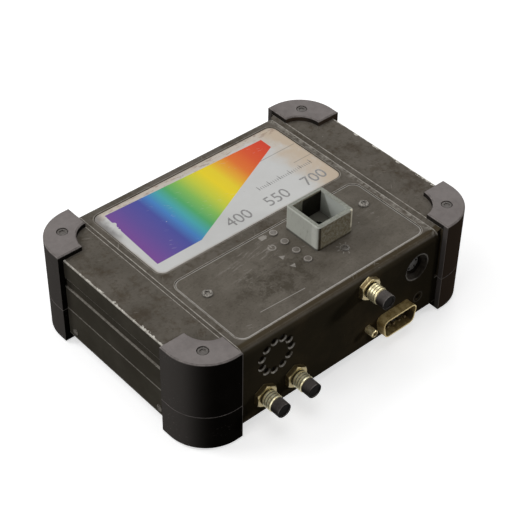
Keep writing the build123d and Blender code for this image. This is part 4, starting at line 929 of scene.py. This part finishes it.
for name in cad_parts:
    if name.startswith("bumper_upper") or name.startswith("bumper_lower"):
        dressing[name] = rubber
    elif name.startswith("button_"):
        dressing[name] = key_plastic
    elif name.startswith("fibre_port"):
        dressing[name] = barrel_brass
    elif name.startswith("dust_cap"):
        dressing[name] = cap_rubber
for name, finish in dressing.items():
    dress(name, finish)


# New pieces: the threads of the fibre ports and the print on the label

def edit_all():
    """Opens the active mesh with all of it selected."""
    bpy.ops.object.mode_set(mode="EDIT")
    bpy.ops.mesh.select_all(action="SELECT")


def close_edit():
    bpy.ops.object.mode_set(mode="OBJECT")


def turned_thread():
    """One coil of thread about Z, modelled once for the three ports."""
    bpy.ops.object.select_all(action="DESELECT")
    bpy.ops.mesh.primitive_plane_add(size=1.0)
    coil = bpy.context.object
    coil.name = "thread_coil"
    edit_all()
    bpy.ops.transform.rotate(value=math.pi / 2, orient_axis="X", center_override=(0, 0, 0))
    bpy.ops.transform.rotate(value=math.pi / 4, orient_axis="Y", center_override=(0, 0, 0))
    bpy.ops.mesh.select_all(action="DESELECT")
    close_edit()
    inner = min(coil.data.vertices, key=lambda vertex: vertex.co.x)
    reach = -inner.co.x
    inner.select = True
    bpy.ops.object.mode_set(mode="EDIT")
    bpy.ops.mesh.delete(type="VERT")
    bpy.ops.mesh.select_all(action="SELECT")
    depth = (thread_crest_mm - thread_root_mm + thread_overlap_mm) * MM
    bpy.ops.transform.resize(value=(depth / reach, 1, thread_pitch_mm / 2 * MM / reach),
                             center_override=(0, 0, 0))
    bpy.ops.transform.translate(value=((thread_root_mm - thread_overlap_mm) * MM, 0,
                                       thread_pitch_mm / 2 * MM))
    close_edit()
    turns = coil.modifiers.new("turns", "SCREW")
    turns.axis = "Z"
    turns.angle = 2 * math.pi
    turns.screw_offset = thread_pitch_mm * MM
    turns.iterations = thread_turns
    turns.steps = turns.render_steps = thread_steps
    bpy.ops.object.modifier_apply(modifier="turns")
    edit_all()
    bpy.ops.mesh.remove_doubles(threshold=weld_distance)
    bpy.ops.mesh.normals_make_consistent(inside=False)
    close_edit()
    return coil


def threaded_port(side, coil):
    """The port's own solid, its barrel turned down to the root of the thread, with the coil around it."""
    name = "fibre_port_" + side
    low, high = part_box("dust_cap_" + side)
    middle_x, middle_z = (low[0] + high[0]) / 2, (low[2] + high[2]) / 2
    nut_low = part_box("fibre_nuts")[0]
    port = bpy.data.objects.new("threaded_port_" + side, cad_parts[name].data.copy())
    bpy.context.scene.collection.objects.link(port)
    port.data.materials.clear()
    port.data.materials.append(barrel_brass.material)
    bpy.ops.object.select_all(action="DESELECT")
    port.select_set(True)
    bpy.context.view_layer.objects.active = port
    edit_all()
    bpy.ops.mesh.remove_doubles(threshold=weld_distance)
    bpy.ops.mesh.select_all(action="DESELECT")
    close_edit()
    # The barrel's outer skin in front of the nut
    for vertex in port.data.vertices:
        radius = math.hypot(vertex.co.x - middle_x, vertex.co.z - middle_z)
        vertex.select = vertex.co.y < nut_low[1] and radius > (thread_root_mm + 0.1) * MM
    bpy.ops.object.mode_set(mode="EDIT")
    shrink = thread_root_mm / thread_crest_mm
    bpy.ops.transform.resize(value=(shrink, 1, shrink), center_override=(middle_x, 0, middle_z))
    close_edit()
    turns = coil.copy()
    turns.data = coil.data.copy()
    bpy.context.scene.collection.objects.link(turns)
    turns.data.materials.append(barrel_brass.material)
    turns.rotation_euler = (math.pi / 2, 0, 0)
    turns.location = (middle_x, nut_low[1], middle_z)
    bpy.ops.object.select_all(action="DESELECT")
    turns.select_set(True)
    port.select_set(True)
    bpy.context.view_layer.objects.active = port
    bpy.ops.object.join()
    bpy.ops.object.shade_smooth_by_angle(angle=math.radians(35))
    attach(port, "casing")
    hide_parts(name)


def label_numbers():
    """Three figures for wavelengths along the front of the label."""
    for index, figure in enumerate(figures):
        bpy.ops.object.select_all(action="DESELECT")
        bpy.ops.object.text_add()
        text = bpy.context.object
        text.name = "label_figure_" + figure
        text.data.body = figure
        text.data.size = figure_size_mm * MM
        text.data.extrude = print_height_mm / 2 * MM
        bpy.ops.object.convert(target="MESH")
        text.location = ((figure_place_mm[0] + figure_spacing_mm * index) * MM,
                         (figure_place_mm[1] + case_middle_y) * MM, (label_high.z + print_height_mm / 2) * MM)
        bpy.ops.object.transform_apply(location=True, rotation=True, scale=True)
        text.data.materials.append(ink_grey.material)
        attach(text, "casing")


def label_scale():
    """A row of small ticks above the figures, every fifth one longer."""
    for name, step_mm, length_mm in tick_rows_mm:
        bpy.ops.object.select_all(action="DESELECT")
        bpy.ops.mesh.primitive_plane_add(size=1.0)
        ticks = bpy.context.object
        ticks.name = name
        edit_all()
        bpy.ops.transform.resize(value=(tick_width_mm * MM, length_mm * MM, 1), center_override=(0, 0, 0))
        place = (tick_place_mm[0] * MM, (tick_place_mm[1] + case_middle_y + length_mm / 2) * MM,
                 (label_high.z + print_lift_mm) * MM)
        bpy.ops.transform.translate(value=place)
        bpy.ops.mesh.extrude_region_move(TRANSFORM_OT_translate={"value": (0, 0, print_height_mm * MM)})
        bpy.ops.mesh.select_all(action="SELECT")
        bpy.ops.mesh.normals_make_consistent(inside=False)
        close_edit()
        row = ticks.modifiers.new("row", "ARRAY")
        row.use_relative_offset = False
        row.use_constant_offset = True
        row.constant_offset_displace = (step_mm * MM, 0, 0)
        row.count = int(tick_row_mm / step_mm) + 1
        bpy.ops.object.modifier_apply(modifier="row")
        ticks.data.materials.append(ink_grey.material)
        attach(ticks, "casing")


ink_grey = faded_ink()
thread_coil = turned_thread()
for side in ("left", "centre", "right"):
    threaded_port(side, thread_coil)
bpy.data.objects.remove(thread_coil)
label_numbers()
label_scale()


# Camera, at the photograph's angle

photo_width_px = 512
photo_focal_px = 1439.9
camera_azimuth = math.radians(-41.772)
camera_elevation = math.radians(41.392)
camera_roll = math.radians(0.865)
camera_place = Vector((-0.25587, -0.28208, 0.36029))


def add_camera():
    """The camera stands where the photograph was taken from."""
    back = Vector((math.sin(camera_azimuth) * math.cos(camera_elevation),
                   -math.cos(camera_azimuth) * math.cos(camera_elevation), math.sin(camera_elevation)))
    level = Vector((0, 0, 1)).cross(back).normalized()
    upright = back.cross(level)
    right = math.cos(camera_roll) * level + math.sin(camera_roll) * upright
    up = math.cos(camera_roll) * upright - math.sin(camera_roll) * level
    camera = bpy.data.objects.new("camera", bpy.data.cameras.new("camera"))
    camera.matrix_world = Matrix.Translation(camera_place) @ Matrix((right, up, back)).transposed().to_4x4()
    camera.data.lens = camera.data.sensor_width * photo_focal_px / photo_width_px
    camera.data.clip_start = 0.01
    bpy.context.scene.collection.objects.link(camera)
    bpy.context.scene.camera = camera


def add_softbox(name, place, width, energy):
    """A square soft light that faces the middle of the object."""
    lamp = bpy.data.lights.new(name, "AREA")
    lamp.size = width
    lamp.energy = energy
    light = bpy.data.objects.new(name, lamp)
    light.location = place
    aim = Vector((0, 0, 0.02)) - Vector(place)
    light.rotation_euler = aim.to_track_quat("-Z", "Y").to_euler()
    bpy.context.scene.collection.objects.link(light)


def shown_white(tree, low, high):
    """The low shader, and the high one on rays from the camera, mirrors and glass."""
    rays = add_node(tree, "ShaderNodeLightPath").outputs
    shown = rays["Is Camera Ray"]
    for kind in ("Is Glossy Ray", "Is Transmission Ray"):
        shown = add_node(tree, "ShaderNodeMath", {"operation": "MAXIMUM"},
                         {0: shown, 1: rays[kind]}).outputs[0]
    return add_node(tree, "ShaderNodeMixShader", None, {0: shown, 1: low, 2: high}).outputs[0]


def add_world():
    """A dim even light, seen as plain white."""
    world = bpy.data.worlds.new("studio")
    bpy.context.scene.world = world
    world.use_nodes = True
    tree = world.node_tree
    soft = tree.nodes["Background"]
    soft.inputs["Color"].default_value = white
    soft.inputs["Strength"].default_value = world_strength
    plain = add_node(tree, "ShaderNodeBackground", None, {"Color": white, "Strength": 1.0})
    feed(tree, tree.nodes["World Output"].inputs["Surface"],
         shown_white(tree, soft.outputs[0], plain.outputs[0]))


def add_floor():
    """A floor that is seen pale with the object's shadow, white far from it, and lights as if dark."""
    bpy.ops.object.select_all(action="DESELECT")
    bpy.ops.mesh.primitive_plane_add(size=floor_width, location=(0, 0, -floor_drop))
    floor = bpy.context.object
    floor.name = "floor"
    material = bpy.data.materials.new("pale_floor")
    material.use_nodes = True
    tree = material.node_tree
    matt = tree.nodes["Principled BSDF"]
    matt.inputs["Base Color"].default_value = floor_pale
    matt.inputs["Roughness"].default_value = floor_roughness
    matt.inputs["Specular IOR Level"].default_value = 0.0
    glow = add_node(tree, "ShaderNodeEmission", None, {"Strength": floor_glow})
    near = add_node(tree, "ShaderNodeAddShader", None, {0: matt.outputs[0], 1: glow.outputs[0]})
    plain = add_node(tree, "ShaderNodeEmission", None, {"Strength": 1.0})
    place = add_node(tree, "ShaderNodeTexCoord").outputs["Object"]
    away = add_node(tree, "ShaderNodeVectorMath", {"operation": "LENGTH"}, {0: place}).outputs["Value"]
    share = add_node(tree, "ShaderNodeMapRange", None,
                     {"Value": away, "From Min": floor_fade[0], "From Max": floor_fade[1]}).outputs["Result"]
    seen = add_node(tree, "ShaderNodeMixShader", None, {0: share, 1: near.outputs[0], 2: plain.outputs[0]})
    dim = add_node(tree, "ShaderNodeBsdfDiffuse", None, {"Color": floor_dark})
    feed(tree, tree.nodes["Material Output"].inputs["Surface"],
         shown_white(tree, dim.outputs[0], seen.outputs[0]))
    floor.data.materials.append(material)


# Surroundings, in metres and watts

white = (1.0, 1.0, 1.0, 1.0)
world_strength = 0.08
floor_width = 6.0
floor_drop = 0.0002
floor_pale = (0.8, 0.8, 0.8, 1.0)
floor_dark = (0.08, 0.08, 0.08, 1.0)
floor_roughness = 0.9
floor_glow = 0.6
floor_fade = (0.25, 0.8)
softboxes = (
    ("key_rear_left", (-0.55, 0.60, 0.75), 0.5, 3.9),
    ("key_rear_right", (0.70, 0.45, 0.70), 0.5, 2.3),
    ("overhead", (-0.05, 0.0, 0.95), 0.6, 2.0),
    ("fill_left", (-0.9, -0.15, 0.45), 0.5, 1.9),
    ("front_right", (0.95, -0.70, 0.36), 0.16, 2.6))

add_camera()
add_world()
add_floor()
for softbox in softboxes:
    add_softbox(*softbox)
bpy.context.scene.view_settings.view_transform = "Standard"
